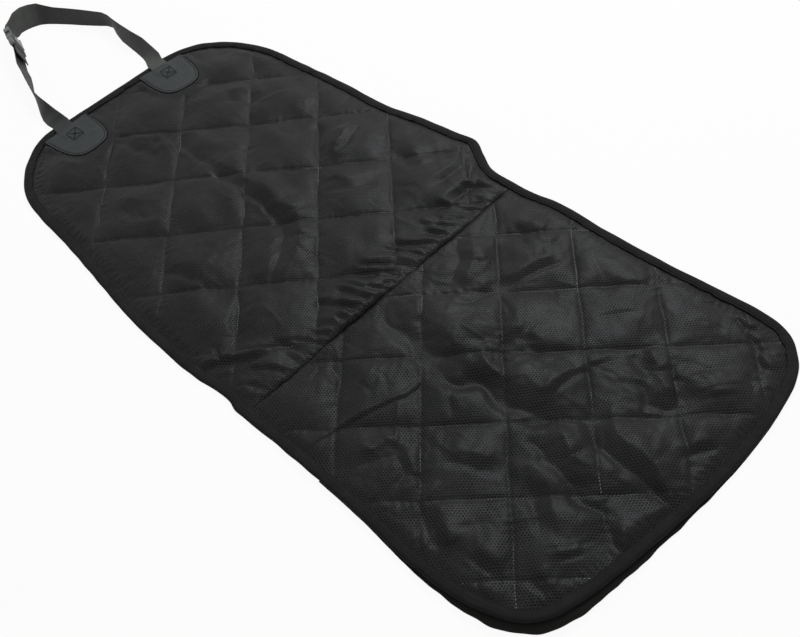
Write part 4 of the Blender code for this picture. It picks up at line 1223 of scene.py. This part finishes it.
def plastic():
    """Dark grey moulded plastic with a fine satin grain."""
    nodes = Nodes("buckle_plastic")
    place = nodes.object_place()
    soft = nodes.noise(place, 120.0)
    relief = (nodes.noise(place, 900.0), 0.00008, 0.6)
    return nodes.finish(nodes.blend(soft, "4e5150", "626564"), nodes.plus(0.26, soft, 0.16), relief)


def quilting_thread():
    """Black thread, paler in random patches."""
    nodes = Nodes("quilting_thread")
    place = nodes.object_place()
    pale_patches = nodes.ramp(nodes.noise(place, 14.0), 0.51, 0.63)
    relief = (nodes.noise(place, 1400.0, 1.0), 0.0001, 0.5)
    return nodes.finish(nodes.blend(pale_patches, "1d1e1f", "858789"), 0.6, relief, 0.2)


def thread(name, dark, pale):
    """Thread that turns from dark to pale with its twist."""
    nodes = Nodes(name)
    twist = nodes.noise(nodes.object_place(), 1400.0, 1.0)
    return nodes.finish(nodes.blend(twist, dark, pale), 0.7, (twist, 0.0001, 0.5), 0.1)


def rest_on_body(obj, node):
    """Puts a piece on the one body, in place of its CAD node if it has one."""
    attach(obj, "root")
    if node:
        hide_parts(node)


def make_cover():
    """Every visible piece of the cover, on its body, each in place of its CAD part where it has
    one.
    """
    cloth = quilted_cloth()
    back = quilted_panel("back_cloth", 1, cloth)
    seat = quilted_panel("seat_cloth", -1, cloth)
    rest_on_body(back, "back_panel")
    rest_on_body(seat, "seat_panel")

    tape = edge_binding(tape_cloth())
    rest_on_body(tape, "edge_binding")
    skirt = seat_skirt(skirt_material())
    rest_on_body(skirt, "seat_skirt")

    hide = leather()
    left, right = patch_centres()
    for side, centre in (("left", left), ("right", right)):
        rest_on_body(patch(side + "_leather", centre, hide), "patch_" + side)

    # Both straps are one webbing in two copies: painted light makes the long strap paler, and
    # painted shade makes the short strap darker
    nylon = webbing_material("strap_webbing", "3a3c3a", "4b4d4b")
    painted_shade_nylon = webbing_material("short_webbing_painted_shade", "232524", "2f3130")
    long_way = strap_stations(right, LONG_ROUTE) + loop_round_bar(SOCKET_BAR, 1, LOOP_TAIL)
    short_way = strap_stations(left, SHORT_ROUTE) + loop_round_bar(PLUG_BAR, -1, STRAP_TAIL)
    rest_on_body(webbing("long_strap", long_way, nylon), "webbing_long")
    rest_on_body(webbing("short_strap", short_way, painted_shade_nylon), "webbing_short")

    pale = quilting_thread()
    for name, is_back in (("back_stitches", True), ("seat_stitches", False)):
        sewn = stitches(name, *quilt_stitches(is_back), QUILT_THREAD, pale)
        rest_on_body(sewn, None)
    dark = thread("binding_thread", "232423", "3c3e3c")
    sewn = stitches("binding_stitches", *binding_stitches(), BINDING_THREAD, dark)
    rest_on_body(sewn, None)
    black = thread("patch_thread", "0a0b0b", "161717")
    places, headings = (a + b for a, b in zip(patch_stitches(left), patch_stitches(right)))
    sewn = stitches("patch_stitches", places, headings, PATCH_THREAD, black)
    rest_on_body(sewn, None)

    shell = plastic()
    for name in ("buckle_socket", "buckle_plug"):
        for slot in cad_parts[name].material_slots:
            slot.material = shell


def white_for_camera(nodes):
    """A value that is 1 for what the camera, a reflection or a clear surface sees."""
    path = nodes.add("ShaderNodeLightPath")
    seen = nodes.math("MAXIMUM", path.outputs["Is Camera Ray"], path.outputs["Is Glossy Ray"])
    return nodes.math("MAXIMUM", seen, path.outputs["Is Transmission Ray"])


def make_stage():
    """A white floor, and a white world that lights less than it shows."""
    mesh = bpy.data.meshes.new("floor")
    signs = ((-1, -1), (1, -1), (1, 1), (-1, 1))
    corners = [(FLOOR_REACH * x, FLOOR_REACH * y, 0) for x, y in signs]
    mesh.from_pydata(corners, [], [(0, 1, 2, 3)])
    floor = bpy.data.objects.new("floor", mesh)
    floor.location.z = -FLOOR_DROP
    bpy.context.collection.objects.link(floor)
    nodes = Nodes("floor_white")
    nodes.tree.nodes.clear()
    matt = nodes.add("ShaderNodeBsdfDiffuse", Color=(FLOOR_GREY, FLOOR_GREY, FLOOR_GREY, 1))
    glow = nodes.add("ShaderNodeEmission", Strength=1.0)
    share = nodes.math("MULTIPLY", white_for_camera(nodes), FLOOR_GLOW)
    mix = nodes.add("ShaderNodeMixShader")
    for socket, value in zip(mix.inputs, (share, matt.outputs[0], glow.outputs[0])):
        nodes.put(socket, value)
    nodes.add("ShaderNodeOutputMaterial", Surface=mix.outputs[0])
    mesh.materials.append(nodes.owner)

    world = bpy.data.worlds.new("studio")
    bpy.context.scene.world = world
    nodes = Nodes("studio", world)
    seen = white_for_camera(nodes)
    strength = nodes.add("ShaderNodeMapRange", Value=seen, To_Min=WORLD_LIGHT, To_Max=1.0)
    inputs = {"Color": (1, 1, 1, 1), "Strength": strength.outputs["Result"]}
    nodes.fill(nodes.tree.nodes["Background"], inputs)


def make_light():
    """One large soft light, high on the cover's right."""
    data = bpy.data.lights.new("key", "AREA")
    data.shape = "RECTANGLE"
    data.size, data.size_y = KEY_SIZE
    data.energy = KEY_POWER
    light = bpy.data.objects.new("key", data)
    light.location = KEY_PLACE
    towards = Vector(KEY_TARGET) - Vector(KEY_PLACE)
    light.rotation_euler = towards.to_track_quat("-Z", "Y").to_euler()
    bpy.context.collection.objects.link(light)


def main():
    make_camera()
    make_cover()
    make_stage()
    make_light()
    bpy.context.scene.view_settings.view_transform = "Standard"


main()
